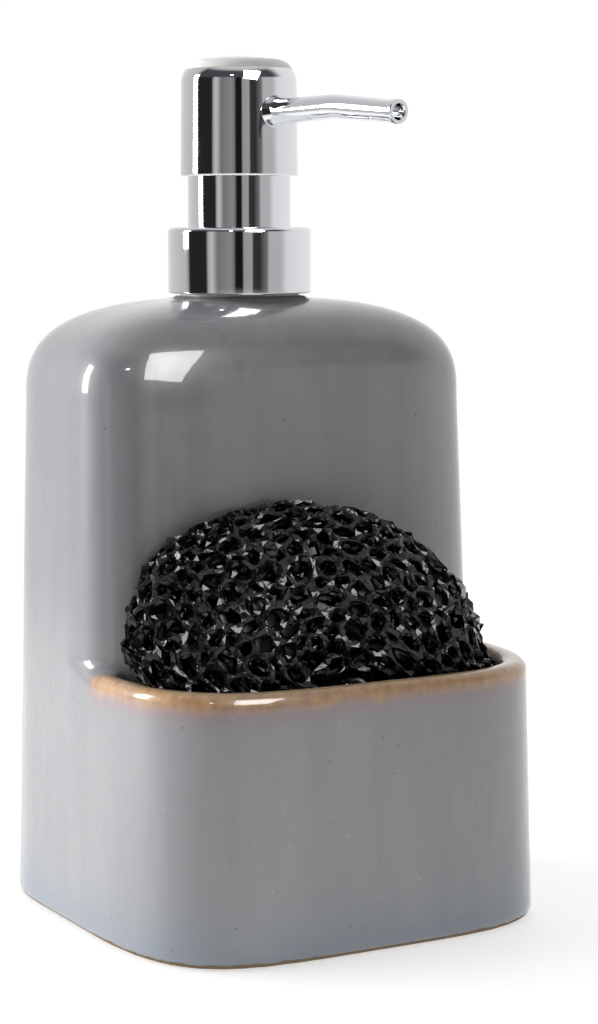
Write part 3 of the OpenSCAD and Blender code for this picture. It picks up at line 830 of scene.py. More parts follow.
    def _masks(self, piece: Piece, p: np.ndarray) -> None:
        """Masks for the rim's thin glaze, the painted shade inside the tray and the cavity, and the
        bare foot.
        """
        z = p[:, 2]
        tall = self.reservoir(p)
        away = smooth(tall, 0.6, 3.0)
        outer = self.tray_plan(p)
        drop = self.tray_height - z
        on_rim = np.where(outer > -self.rim_round - 0.2, 1.0, 0.0)
        outside = np.clip(1.0 - drop / self.rim_band, 0.0, 1.0)
        within = np.clip(1.0 - drop / self.inner_rim_band, 0.0, 1.0)
        paint(piece, "rim", np.where(on_rim > 0, outside, within) * away * smooth(z, 40.0, 44.0))
        near = self.step
        # Painted shade: the pocket's walls darken with depth below the rim, and the cavity's walls
        # below the neck are darkened as well.
        deep = smooth(drop, 0.6, 5.0) * (self.pocket(p) < near) * (tall > -near)
        cavity_shade = (self.cavity(p) < near) & (z < 128.0)
        paint(piece, "inside", np.maximum(deep * 0.85, cavity_shade * 0.6))
        foot = np.clip(self.foot_recess + 0.35 - z, 0.0, 1.0) / 0.35
        foot += (z < 0.9) * (outer > -self.base_round)
        paint(piece, "bare", np.clip(foot, 0.0, 1.0))


# --------------------------------------------------------------------------
# Geometry Nodes
# --------------------------------------------------------------------------


@dataclass
class Grower:
    """A Geometry Nodes tree that is run once and turned into a plain mesh."""

    name: str
    inputs: Sequence[tuple[str, str, object]]
    tree: Tree = field(init=False)
    given: Node = field(init=False)
    out: Node = field(init=False)

    def __post_init__(self) -> None:
        """Make the tree with its geometry sockets and named inputs."""
        group = bpy.data.node_groups.new(self.name, "GeometryNodeTree")
        geometry = {"name": "Geometry", "socket_type": "NodeSocketGeometry"}
        group.interface.new_socket(in_out="INPUT", **geometry)
        for label, kind, default in self.inputs:
            group.interface.new_socket(name=label, in_out="INPUT",
                                       socket_type=kind).default_value = default
        group.interface.new_socket(in_out="OUTPUT", **geometry)
        self.tree = Tree(group)
        self.given = group.nodes.new("NodeGroupInput")
        self.out = group.nodes.new("NodeGroupOutput")

    def value(self, label: str) -> Socket:
        """One of the tree's named inputs."""
        return self.given.outputs[label]

    def maths(self, kind: str, a: object, b: object = 0.0) -> Socket:
        """A Math node's result."""
        return self.tree.maths(kind, a, b)

    def point(self, x: object = 0.0, y: object = 0.0, z: object = 0.0) -> Socket:
        """A vector from three numbers."""
        return self.tree.out("ShaderNodeCombineXYZ", X=x, Y=y, Z=z)

    def end(self, geometry: Socket, material: Material, even: bool = True) -> None:
        """Realise what was grown, set its shading and give it its material."""
        t = self.tree
        real = t.out("GeometryNodeRealizeInstances", Geometry=geometry)
        shaded = t.out("GeometryNodeSetShadeSmooth", Geometry=real, Shade_Smooth=even)
        dressed = t.out("GeometryNodeSetMaterial", Geometry=shaded, Material=material)
        t.tree.links.new(dressed, self.out.inputs[0])

    def grow(self, base: Piece, name: str, **values: float) -> Piece:
        """Run the tree on an object and keep its result as a plain mesh.

        Args:
            base: the object that the tree starts from; it is removed.
            name: name of the new piece.
            values: sizes for the named inputs, with _ for spaces.

        Returns:
            The new piece, with no modifier on it.
        """
        modifier = base.modifiers.new(self.name, "NODES")
        modifier.node_group = self.tree.tree
        for item in self.tree.tree.interface.items_tree:
            key = item.name.replace(" ", "_").lower()
            if item.in_out == "INPUT" and key in values:
                modifier[item.identifier] = values[key]
        base.update_tag()
        bpy.context.view_layer.update()
        graph = bpy.context.evaluated_depsgraph_get()
        mesh = bpy.data.meshes.new_from_object(base.evaluated_get(graph), depsgraph=graph)
        mesh.name = name
        base.modifiers.clear()
        old = base.data
        bpy.data.objects.remove(base)
        bpy.data.meshes.remove(old)
        return link_mesh(name, mesh)


def subdivided(piece: Piece) -> Piece:
    """Subdivide an object once into a plain, smooth-shaded mesh."""
    modifier = piece.modifiers.new("smooth", "SUBSURF")
    modifier.levels = modifier.render_levels = 1
    graph = bpy.context.evaluated_depsgraph_get()
    mesh = bpy.data.meshes.new_from_object(piece.evaluated_get(graph), depsgraph=graph)
    piece.modifiers.clear()
    piece.data = mesh
    mesh.shade_smooth()
    return piece


def dress(piece: Piece, material: Material) -> Piece:
    """Give a piece one material."""
    piece.data.materials.clear()
    piece.data.materials.append(material)
    return piece


# --------------------------------------------------------------------------
# The press pump
# --------------------------------------------------------------------------


@dataclass
class PressPump:
    """Chromed collar, sleeve, head and spout, and the finishes of what is inside."""

    axis_y: float = 16.9
    collar_radius: float = 15.8
    collar_bottom: float = 133.9
    collar_top: float = 148.3
    collar_edge: float = 1.0
    collar_wall: float = 0.6
    sleeve_radius: float = 11.35
    sleeve_wall: float = 0.6
    sleeve_bottom: float = 146.24
    sleeve_top: float = 160.9
    hole_gap: float = 0.07
    head_radius: float = 12.95
    head_bottom: float = 159.5
    head_top: float = 185.6
    head_corner: float = 4.9
    head_wall: float = 0.8
    head_flare: float = 0.25
    crown: float = 0.9
    spout_z: float = 173.0
    spout_turn: float = 10.0
    spout_rise: float = 1.0
    spout_fall: float = 5.0
    spout_reach: float = 53.0
    spout_bend_at: float = 0.62
    spout_root: float = 2.8
    spout_tip: float = 2.3
    flare: float = 0.26
    flare_reach: float = 1.1
    mouth_steps: Profile = field(default_factory=lambda: [
        (0.22, -1.5), (0.26, -0.9), (0.26, -0.25), (0.14, 0.0), (-0.55, 0.0), (-0.8, -0.35),
        (-0.8, -6.0)])

    def collar(self, chrome: Material) -> Piece:
        """The closure's case, with a rolled lower edge."""
        r, low, top, e, w = (self.collar_radius, self.collar_bottom, self.collar_top,
                             self.collar_edge, self.collar_wall)
        hole = self.sleeve_radius + self.hole_gap
        profile = [(r - w, low + 0.25), *arc(r - 0.3, low + 0.3, 0.3, -120, 0, 5),
                   *arc(r - e, top - e, e, 0, 90, 10), *arc(hole + 0.2, top - 0.2, 0.2, 90, 180, 4),
                   (hole, top - w), (r - w - 0.3, top - w), (r - w, top - w - 0.3)]
        piece = dress(lathe("chrome_collar", profile, self.axis_y, 160), chrome)
        return self._place(piece, "collar_shell", "collar")

    def sleeve(self, chrome: Material) -> Piece:
        """The tube that the head slides over."""
        r, w = self.sleeve_radius, self.sleeve_wall
        profile = [(r - w, self.sleeve_bottom), (r, self.sleeve_bottom), (r, self.sleeve_top - 0.3),
                   (r - 0.3, self.sleeve_top), (r - w, self.sleeve_top)]
        piece = dress(lathe("chrome_sleeve", profile, self.axis_y, 160), chrome)
        return self._place(piece, "guide_sleeve", "pump_unit")

    def head(self, chrome: Material) -> Piece:
        """The cap, slightly crowned and a touch wider at its open end."""
        r, low, top, c, w = (self.head_radius, self.head_bottom, self.head_top,
                             self.head_corner, self.head_wall)
        slim = r - self.head_flare
        crown_r = ((slim - c) ** 2 + self.crown ** 2) / (2 * self.crown)
        side = top - self.crown - c
        outer = [(r - 0.35, low), (r - 0.1, low + 0.1), (r, low + 0.35)]
        # Close rows beside the rounded edges keep the long wall's shading straight.
        outer += [(r + (slim - r) * f, low + 0.35 + (side - low - 0.35) * f)
                  for f in (0.012, 0.03, 0.06, 0.5, 0.94, 0.985)]
        outer += arc(slim - c, side, c, 0, 78, 14)
        outer += [(x, top - crown_r + math.sqrt(crown_r ** 2 - x ** 2))
                  for x in np.linspace(slim - c - 0.6, 0.0, 10)]
        inner = [(0.0, top - self.crown - w), (slim - w - c + 0.4, top - self.crown - w)]
        inner += [(x - w, z) for x, z in reversed(arc(slim - c, side - 0.8, c, 0, 80, 8))]
        inner += [(r - w, low + 0.3)]
        piece = dress(lathe("chrome_head", outer + inner, self.axis_y, 192), chrome)
        return self._place(piece, "head_shell", "head")

    def spout(self, chrome: Material) -> Piece:
        """The bent, tapered spout with its bore, swept along a rounded path."""
        grower = Grower("swept_spout", [
            ("Start", "NodeSocketFloat", 0.0), ("Bend", "NodeSocketFloat", 0.033),
            ("Reach", "NodeSocketFloat", 0.053), ("Rise", "NodeSocketFloat", 0.002),
            ("Fall", "NodeSocketFloat", 0.001), ("Height", "NodeSocketFloat", 0.17),
            ("Axis Y", "NodeSocketFloat", 0.0), ("Turn", "NodeSocketFloat", 0.0),
            ("Root Radius", "NodeSocketFloat", 0.0028), ("Tip Radius", "NodeSocketFloat", 0.0021)])
        t = grower.tree
        root = grower.point(grower.value("Start"), 0.0, 0.0)
        elbow = grower.point(grower.value("Bend"), 0.0, grower.value("Rise"))
        first = t.out("GeometryNodeCurvePrimitiveLine", Start=root, End=elbow)
        tip = grower.point(grower.value("Reach"), 0.0, grower.value("Fall"))
        second = t.out("GeometryNodeCurvePrimitiveLine", Start=elbow, End=tip)
        both = t.node("GeometryNodeJoinGeometry")
        t.tree.links.new(second, both.inputs[0])
        t.tree.links.new(first, both.inputs[0])
        # Joined end to end as one path: through a mesh, merged, and back to a curve.
        wire = t.out("GeometryNodeCurveToMesh", Curve=both.outputs[0])
        wire = t.out("GeometryNodeMergeByDistance", Geometry=wire, Distance=0.00001)
        path = t.out("GeometryNodeMeshToCurve", Mesh=wire)
        path = t.out("GeometryNodeFilletCurve", mode="POLY", Curve=path, Radius=0.022, Count=14)
        along = t.node("GeometryNodeSplineParameter").outputs["Factor"]
        taper = t.out("ShaderNodeMapRange", in_0=along, in_3=grower.value("Root Radius"),
                       in_4=grower.value("Tip Radius"))
        path = t.out("GeometryNodeResampleCurve", Curve=path, Count=90)
        ring = t.out("GeometryNodeCurvePrimitiveCircle", Resolution=40, Radius=1.0)
        tube = t.out("GeometryNodeCurveToMesh", Curve=path, Profile_Curve=ring, Scale=taper)
        turned = t.out("GeometryNodeTransform", Geometry=tube,
                        Translation=grower.point(0.0, grower.value("Axis Y"),
                                                 grower.value("Height")),
                        Rotation=grower.point(0.0, 0.0, grower.value("Turn")))
        grower.end(turned, chrome)
        base = mesh_piece("spout_seed", [(0, 0, 0)], [])
        bend = self.spout_reach * self.spout_bend_at
        rise = bend * math.tan(math.radians(self.spout_rise))
        fall = rise - (self.spout_reach - bend) * math.tan(math.radians(self.spout_fall))
        piece = grower.grow(
            base, "chrome_spout", start=9.0 * MM, bend=bend * MM, reach=self.spout_reach * MM,
            rise=rise * MM, fall=fall * MM, height=self.spout_z * MM, axis_y=self.axis_y * MM,
            turn=math.radians(self.spout_turn - 90.0), root_radius=self.spout_root * MM,
            tip_radius=self.spout_tip * MM)
        self._finish_spout(piece)
        return self._place(piece, "spout_tube", "head")

    def _finish_spout(self, piece: Piece) -> None:
        """Roll the spout's mouth, carry it back inside as a bore and close both ends."""
        bm = bmesh.new()
        bm.from_mesh(piece.data)
        bmesh.ops.remove_doubles(bm, verts=bm.verts, dist=1e-7)
        loops = sorted(self._open_loops(bm), key=lambda ring: sum(v.co.y for v in ring) / len(ring))
        mouth, root = loops[0], loops[-1]
        centre = sum((v.co for v in mouth), Vector()) / len(mouth)
        inner = sum((v.co for v in root), Vector()) / len(root)
        heading = self._way(-self.spout_fall)
        radius = (mouth[0].co - centre).length
        ring = mouth
        for grow_by, out in self.mouth_steps:
            scale = (radius + grow_by * MM) / radius
            ring = self._next_ring(bm, ring, [centre + (v.co - centre).normalized() * radius * scale
                                              + heading * out * MM for v in mouth])
        self._cap(bm, ring)
        # A soft flare where the root meets the cap.
        leg = self._way(self.spout_rise)
        spread = (root[0].co - inner).length
        for vert in bm.verts:
            reach = math.hypot(vert.co.x, vert.co.y - self.axis_y * MM) / MM - self.head_radius
            near = math.exp(-max(reach, 0.0) / self.flare_reach)
            near *= min(max(reach / 1.2 + 2.0, 0.0), 1.0)
            if near > 0.01 and reach < 12:
                middle = inner + (vert.co - inner).dot(leg) * leg
                off = vert.co - middle
                if off.length > 0.3 * spread:
                    vert.co = middle + off * (1.0 + self.flare * near)
        self._cap(bm, root)
        bmesh.ops.recalc_face_normals(bm, faces=bm.faces)
        bm.to_mesh(piece.data)
        bm.free()
        sharpen(piece, 50.0)

    def _way(self, climb: float) -> Vector:
        """Direction of a stretch of the spout that climbs by some degrees."""
        a = math.radians(self.spout_turn)
        return Vector((math.sin(a), -math.cos(a), math.tan(math.radians(climb)))).normalized()

    @staticmethod
    def _cap(bm: bmesh.types.BMesh, ring: list[bmesh.types.BMVert]) -> None:
        """Close a ring of points with a face."""
        edges = [e for e in bm.edges if all(v in ring for v in e.verts)]
        bmesh.ops.contextual_create(bm, geom=edges)

    @staticmethod
    def _open_loops(bm: bmesh.types.BMesh) -> list[list[bmesh.types.BMVert]]:
        """Rings of points round the open ends, in order."""
        left = {e for e in bm.edges if len(e.link_faces) == 1}
        loops = []
        while left:
            edge = left.pop()
            loop = [edge.verts[0], edge.verts[1]]
            while True:
                step = next((e for e in loop[-1].link_edges if e in left), None)
                if step is None:
                    break
                left.discard(step)
                other = step.other_vert(loop[-1])
                if other is loop[0]:
                    break
                loop.append(other)
            loops.append(loop)
        return loops

    @staticmethod
    def _next_ring(bm: bmesh.types.BMesh, ring: list[bmesh.types.BMVert],
                   places: list[Vector]) -> list[bmesh.types.BMVert]:
        """Add a ring of points and the quads that join it to the last one."""
        fresh = [bm.verts.new(p) for p in places]
        for i in range(len(ring)):
            k = (i + 1) % len(ring)
            bm.faces.new((ring[i], ring[k], fresh[k], fresh[i]))
        return fresh

    @staticmethod
    def _place(piece: Piece, node: str, body: str) -> Piece:
        """Let a chromed piece stand for its node and move with its body."""
        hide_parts(node)
        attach(piece, body)
        log.info("%s: %d faces", piece.name, len(piece.data.polygons))
        return piece

    def build(self, shared: SharedEffects) -> None:
        """Make the chromed pieces and dress the inner ones."""
        chrome = ChromeFinish().material(shared)
        for make in (self.collar, self.sleeve, self.head, self.spout):
            make(chrome).data.update()
        self.dress_inside(shared)

    def dress_inside(self, shared: SharedEffects) -> None:
        """Give every inner piece its moulded, sprung or rolled finish."""
        finishes = {
            MouldedFinish("white_plastic", (0.80, 0.80, 0.78), 0.36, subsurface=0.08):
                ("neck_insert", "pump_barrel", "guide_bushing", "ball_cage", "collar_nut",
                 "stem", "head_core", "piston_clip"),
            MouldedFinish("tube_plastic", (0.72, 0.74, 0.74), 0.28, 900.0, subsurface=0.15):
                ("dip_tube",),
            MouldedFinish("soft_seal", (0.16, 0.17, 0.18), 0.6, 2000.0, 0.00005):
                ("neck_washer", "piston_seal"),
            MouldedFinish("spring_steel", (0.55, 0.55, 0.54), 0.24, 3000.0, 0.00001, metallic=1.0):
                ("return_spring",),
            MouldedFinish("ball_steel", (0.62, 0.62, 0.63), 0.12, 3000.0, 0.000004, metallic=1.0):
                ("inlet_ball", "outlet_ball"),
        }
        for finish, names in finishes.items():
            material = finish.material(shared)
            for name in names:
                node = frame["nodes"][name]
                if not node.data.materials:
                    node.data.materials.append(material)
                for place in node.material_slots:
                    place.material = material
                log.info("%s: %s", name, material.name)


# --------------------------------------------------------------------------
# The scourer
# --------------------------------------------------------------------------


class Layer(Enum):
    """The scourer's knitted layers, from the outside in."""

    OUTER = "outer"
    INNER = "inner"


@dataclass
class Scourer:
    """Knitted plastic scourer: a gathered disc of open, glossy cells."""

    radius: float = 38.4
    half: float = 11.9
    centre: tuple[float, float, float] = (0.0, -28.19, 53.73)
    rim_z: float = 56.0
    lean: float = 6.0
    curl: float = 0.0045
    turn: float = 0.14
    spread: float = 1.044
    widening: float = 0.0033
    drift: float = -8.1
    gather_radius: float = 9.0
    gather_depth: float = 0.55
    pleats: int = 7
    pleat_depth: float = 0.10
    crease_depth: float = 0.10
    cells: int = 720
    inner_cells: int = 520
    strand_depth: float = 3.0
    strand_waist: float = 0.55
    layer_gap: float = 2.6
    core_points: int = 1400
    core_gap: float = 3.2
    crumple: tuple[float, float] = (-0.9, 0.5)
    tie_turns: float = 3.0
    tie_thread: float = 0.8
    seed: int = 11

    def _profile(self) -> tuple[np.ndarray, np.ndarray, np.ndarray]:
        """Radius and half thickness along the face, with the share of area so far."""
        a = np.linspace(0.0, math.pi / 2, 400)
        r = np.sin(a)
        h = np.maximum(1.0 - r ** 2.5, 0.0) ** (1.0 / 2.1)
        x, y = r * self.radius, h * self.half
        strips = np.hypot(np.diff(x), np.diff(y)) * (x[1:] + x[:-1])
        area = np.concatenate([[0.0], np.cumsum(strips)])
        return x, y, area / area[-1]

    def shape(self, unit: np.ndarray, inset: float) -> np.ndarray:
        """Carry points of a unit ball onto the gathered disc.

        Args:
            unit: directions; the disc's axis is Y.
            inset: how far inside the outer skin, in millimetres.

        Returns:
            Points in millimetres.
        """
        x, y, area = self._profile()
        share = 1.0 - np.abs(unit[:, 1])
        # Wider cells, drawn out towards the tie.
        share = share ** 0.92
        r = np.interp(share, area, x)
        h = np.interp(share, area, y)
        around = np.arctan2(unit[:, 2], unit[:, 0])
        side = np.sign(unit[:, 1])
        pull = np.exp(-(r / self.gather_radius) ** 2)
        fold = np.cos(self.pleats * around + 1.3 * side + 0.6 * np.sin(3 * around))
        h = h * (1.0 - self.gather_depth * pull)
        h = h * (1.0 + self.pleat_depth * fold * np.exp(-(r / 24.0) ** 2))
        # A dark crease runs down from the middle of the face.
        down = np.exp(-((unit[:, 0] * 6.0) ** 2)) * smooth(-np.sin(around), 0.2, 0.9)
        h = h * (1.0 - self.crease_depth * down * smooth(r, 3.0, 12.0))
        lobes = 1.0 + 0.014 * np.cos(2 * around) + 0.010 * np.cos(5 * around + 0.7)
        points = np.stack([r * np.cos(around) * lobes, side * h, r * np.sin(around) * lobes], 1)
        size = np.linalg.norm(points, axis=1, keepdims=True)
        normal = points / np.array([self.radius, self.half, self.radius]) ** 2
        normal /= np.linalg.norm(normal, axis=1, keepdims=True)
        points = points - normal * inset * np.minimum(1.0, size / 6.0)
        points += np.array(self.centre)
        # Above the rim it rests against the reservoir and spreads towards the tray's left wall.
        above = np.maximum(points[:, 2] - self.rim_z, 0.0)
        free = smooth(points[:, 2], self.rim_z - 10.0, self.rim_z + 8.0)
        points[:, 1] += above * math.tan(math.radians(self.lean)) + self.curl * above ** 2
        wider = self.spread - 1.0 + self.widening * above
        points[:, 0] = points[:, 0] * (1.0 + wider * free) + self.drift * free
        points[:, 1] -= points[:, 0] * self.turn * free
        return points

    def skin(self, name: str, count: int, seed: int, inset: float) -> Piece:
        """An even but irregular net of triangles over the disc.

        Args:
            name: name of the object.
            count: number of points, one for each cell later.
            seed: seed of the spacing.
            inset: how far inside the outer skin.

        Returns:
            The triangulated skin.
        """
        rng = np.random.default_rng(seed)
        k = np.arange(count)
        height = 1.0 - 2.0 * (k + 0.5) / count
        turn = k * math.pi * (3.0 - math.sqrt(5.0))
        flat = np.sqrt(1.0 - height ** 2)
        unit = np.stack([flat * np.cos(turn), height, flat * np.sin(turn)], 1)
        pitch = math.sqrt(4 * math.pi / count)
        unit += rng.normal(0.0, 0.30 * pitch, unit.shape)
        unit /= np.linalg.norm(unit, axis=1, keepdims=True)
        for _ in range(3):
            apart = unit[:, None] - unit[None]
            gap = np.linalg.norm(apart, axis=2) + np.eye(count)
            push = np.maximum(0.0, 1.0 - gap / (0.95 * pitch))
            unit += 0.35 * (apart / gap[..., None] * push[..., None]).sum(1) * pitch
            unit /= np.linalg.norm(unit, axis=1, keepdims=True)
        bm = bmesh.new()
        for p in unit:
            bm.verts.new(p)
        bmesh.ops.convex_hull(bm, input=bm.verts)
        bmesh.ops.recalc_face_normals(bm, faces=bm.faces)
        placed = self.shape(np.array([v.co[:] for v in bm.verts]), inset)
        for vert, p in zip(bm.verts, placed):
            vert.co = p * MM
        mesh = bpy.data.meshes.new(name)
        bm.to_mesh(mesh)
        bm.free()
        return link_mesh(name, mesh)

    @staticmethod
    def _jog(grower: Grower, geometry: Socket, reach: Socket) -> Socket:
        """Move every point by a random step of up to the reach each way."""
        t = grower.tree
        step = t.out("FunctionNodeRandomValue", data_type="FLOAT_VECTOR", in_0=(-1.0, -1.0, -1.0),
                     in_1=(1.0, 1.0, 1.0), Seed=grower.value("Seed"))
        step = t.out("ShaderNodeVectorMath", operation="SCALE", in_0=step, Scale=reach)
        return t.out("GeometryNodeSetPosition", Geometry=geometry, Offset=step)

    def lattice(self, layer: Layer, material: Material) -> Piece:
        """Grow one layer of rounded, webbed cells from a skin.

        Args:
            layer: which layer.
            material: the strip's finish.

        Returns:
            The layer as a closed mesh.
        """
        grower = Grower("knitted_cells", [
            ("Depth", "NodeSocketFloat", 0.0026), ("Waist", "NodeSocketFloat", 0.6),
            ("Ruffle", "NodeSocketFloat", 0.0006), ("Seed", "NodeSocketInt", 1),
            ("Levels", "NodeSocketInt", 2)])
        t = grower.tree
        geometry = grower.given.outputs[0]
        cells = t.out("GeometryNodeDualMesh", Mesh=geometry)
        cells = self._jog(grower, cells, grower.value("Ruffle"))
        half_depth = grower.maths("MULTIPLY", grower.value("Depth"), -0.5)
        first = t.node("GeometryNodeExtrudeMesh", mode="FACES", Individual=True, Mesh=cells,
                       Offset_Scale=half_depth)
        waist = t.out("GeometryNodeScaleElements", domain="FACE", Geometry=first.outputs["Mesh"],
                       Selection=first.outputs["Top"], Scale=grower.value("Waist"))
        second = t.node("GeometryNodeExtrudeMesh", mode="FACES", Individual=True, Mesh=waist,
                        Selection=first.outputs["Top"], Offset_Scale=half_depth)
        back = grower.maths("DIVIDE", 1.0, grower.value("Waist"))
        back = grower.maths("MULTIPLY", back, 1.02)
        flare = t.out("GeometryNodeScaleElements", domain="FACE", Geometry=second.outputs["Mesh"],
                       Selection=second.outputs["Top"], Scale=back)
        open_net = t.out("GeometryNodeDeleteGeometry", domain="FACE", Geometry=flare,
                          Selection=second.outputs["Top"])
        closed = t.out("GeometryNodeMergeByDistance", Geometry=open_net,
                        Distance=grower.maths("MULTIPLY", grower.value("Depth"), 0.34))
        rounded = t.out("GeometryNodeSubdivisionSurface", Mesh=closed, Level=grower.value("Levels"))
        # Creased film: every facet catches the light on its own.
        creased = self._jog(grower, rounded, grower.maths("MULTIPLY", grower.value("Ruffle"), 0.42))
        facets = t.out("GeometryNodeTriangulate", Mesh=creased)
        grower.end(facets, material, False)
        outer = layer is Layer.OUTER
        base = self.skin("scourer_skin", self.cells if outer else self.inner_cells,
                         self.seed if outer else self.seed + 5, 0.0 if outer else self.layer_gap)
        piece = grower.grow(base, f"scourer_{layer.value}_net", depth=self.strand_depth * MM,
                            waist=self.strand_waist, ruffle=(0.75 if outer else 0.8) * MM,
                            seed=self.seed, levels=1)
        return piece

    def core(self, material: Material) -> Piece:
        """The crumpled inner layers that close off the view through the cells."""
        piece = self.skin("scourer_core", self.core_points, self.seed + 9,
                          self.layer_gap + self.core_gap)
        rng = np.random.default_rng(self.seed)
        bm = bmesh.new()
        bm.from_mesh(piece.data)
        for vert in bm.verts:
            vert.co += vert.normal * float(rng.uniform(*self.crumple)) * MM
        bm.to_mesh(piece.data)
        bm.free()
        return dress(subdivided(piece), material)

    def tie(self, material: Material) -> Piece:
        """The twisted tie through the middle, its two strands spreading wider at both faces."""
        steps, thread = 96, self.tie_thread
        verts, faces = [], []
        cx, cy, cz = self.centre
        span = self.half * 0.62
        for strand in range(2):
            start = len(verts)
            for i in range(steps + 1):
                f = i / steps
                y = cy - span + 2 * span * f
                a = 2 * math.pi * (self.tie_turns * f + strand / 2)
                grip = 0.75 + 0.55 * (2 * abs(f - 0.5)) ** 3
                px, pz = cx + grip * math.cos(a), cz + grip * math.sin(a)
                for k in range(8):
                    b = 2 * math.pi * k / 8
                    verts.append((px + thread * math.cos(b), y, pz + thread * math.sin(b)))
            for i in range(steps):
                for k in range(8):
                    m = (k + 1) % 8
                    a0 = start + i * 8
                    faces.append((a0 + k, a0 + m, a0 + 8 + m, a0 + 8 + k))
            faces.append(tuple(start + k for k in range(8)))
            faces.append(tuple(start + steps * 8 + k for k in reversed(range(8))))
        piece = outward(mesh_piece("scourer_tie_cord", verts, faces))
        return dress(piece, material)

    def build(self, shared: SharedEffects) -> None:
        """Make the layers, the core and the tie, and place them on their body."""
        strip = ScourerFinish().material(shared)
        dark = MouldedFinish("black_core", (0.006, 0.006, 0.007), 0.38, 500.0, 0.0002,
                             0.5).material(shared)
        outer = self.lattice(Layer.OUTER, strip)
        inner = self.lattice(Layer.INNER, strip)
        core = self.core(dark)
        cord = self.tie(dark)
        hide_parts("scourer_pad")
        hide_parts("scourer_tie")
        for piece in (outer, inner, core, cord):
            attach(piece, "scourer")
            log.info("%s: %d faces", piece.name, len(piece.data.polygons))


# --------------------------------------------------------------------------
# Floor, light and camera
# --------------------------------------------------------------------------


class LightRole(Enum):
    """What a soft light does: shape the shading or show in the gloss."""

    SHADING = "shading"
    GLOSS = "gloss"


@dataclass(frozen=True)
class SoftLight:
    """A rectangular soft light; its azimuth counts from the camera, left negative."""

    name: str
    azimuth: float
    height: float
    distance: float
    width: float
    tall: float
    power: float
    role: LightRole
    roll: float = 0.0

    def place(self) -> Piece:
        """Put the light in the scene, facing the object."""
        data = bpy.data.lights.new(self.name, "AREA")
        data.shape, data.size, data.size_y = "RECTANGLE", self.width, self.tall
        data.energy = self.power
        lamp = bpy.data.objects.new(self.name, data)
        bpy.context.scene.collection.objects.link(lamp)
        a, h = math.radians(CAMERA_SIDE + self.azimuth), math.radians(self.height)
        way = Vector((math.cos(a) * math.cos(h), math.sin(a) * math.cos(h), math.sin(h)))
        place = Vector((0, 0, AIM_HEIGHT)) + way * self.distance
        turn = (-way).to_track_quat("-Z", "Y").to_matrix().to_4x4()
        roll = Matrix.Rotation(math.radians(self.roll), 4, "Z")
        lamp.matrix_world = Matrix.Translation(place) @ turn @ roll
        lamp.visible_camera = False
        lamp.visible_diffuse = self.role is not LightRole.GLOSS
        lamp.visible_glossy = self.role is not LightRole.SHADING
        return lamp


# Brightness round the room, in degrees from the camera: its left is negative.
ROOM = (
    (-180, 0.95), (-140, 0.70), (-118, 0.62), (-96, 0.55), (-91, 0.40), (-86, 0.02), (-54, 0.02),
    (-50, 0.45), (-44, 0.60), (-37, 0.30), (-34, 0.20), (-14, 0.28), (-8, 0.20), (-5, 0.01),
    (6, 0.01), (8, 0.34), (21, 0.38), (23, 0.04), (34, 0.03), (38, 0.09), (46, 0.18), (50, 0.50),
    (70, 0.50), (84, 0.80), (110, 0.86), (150, 0.90), (180, 0.95),
)


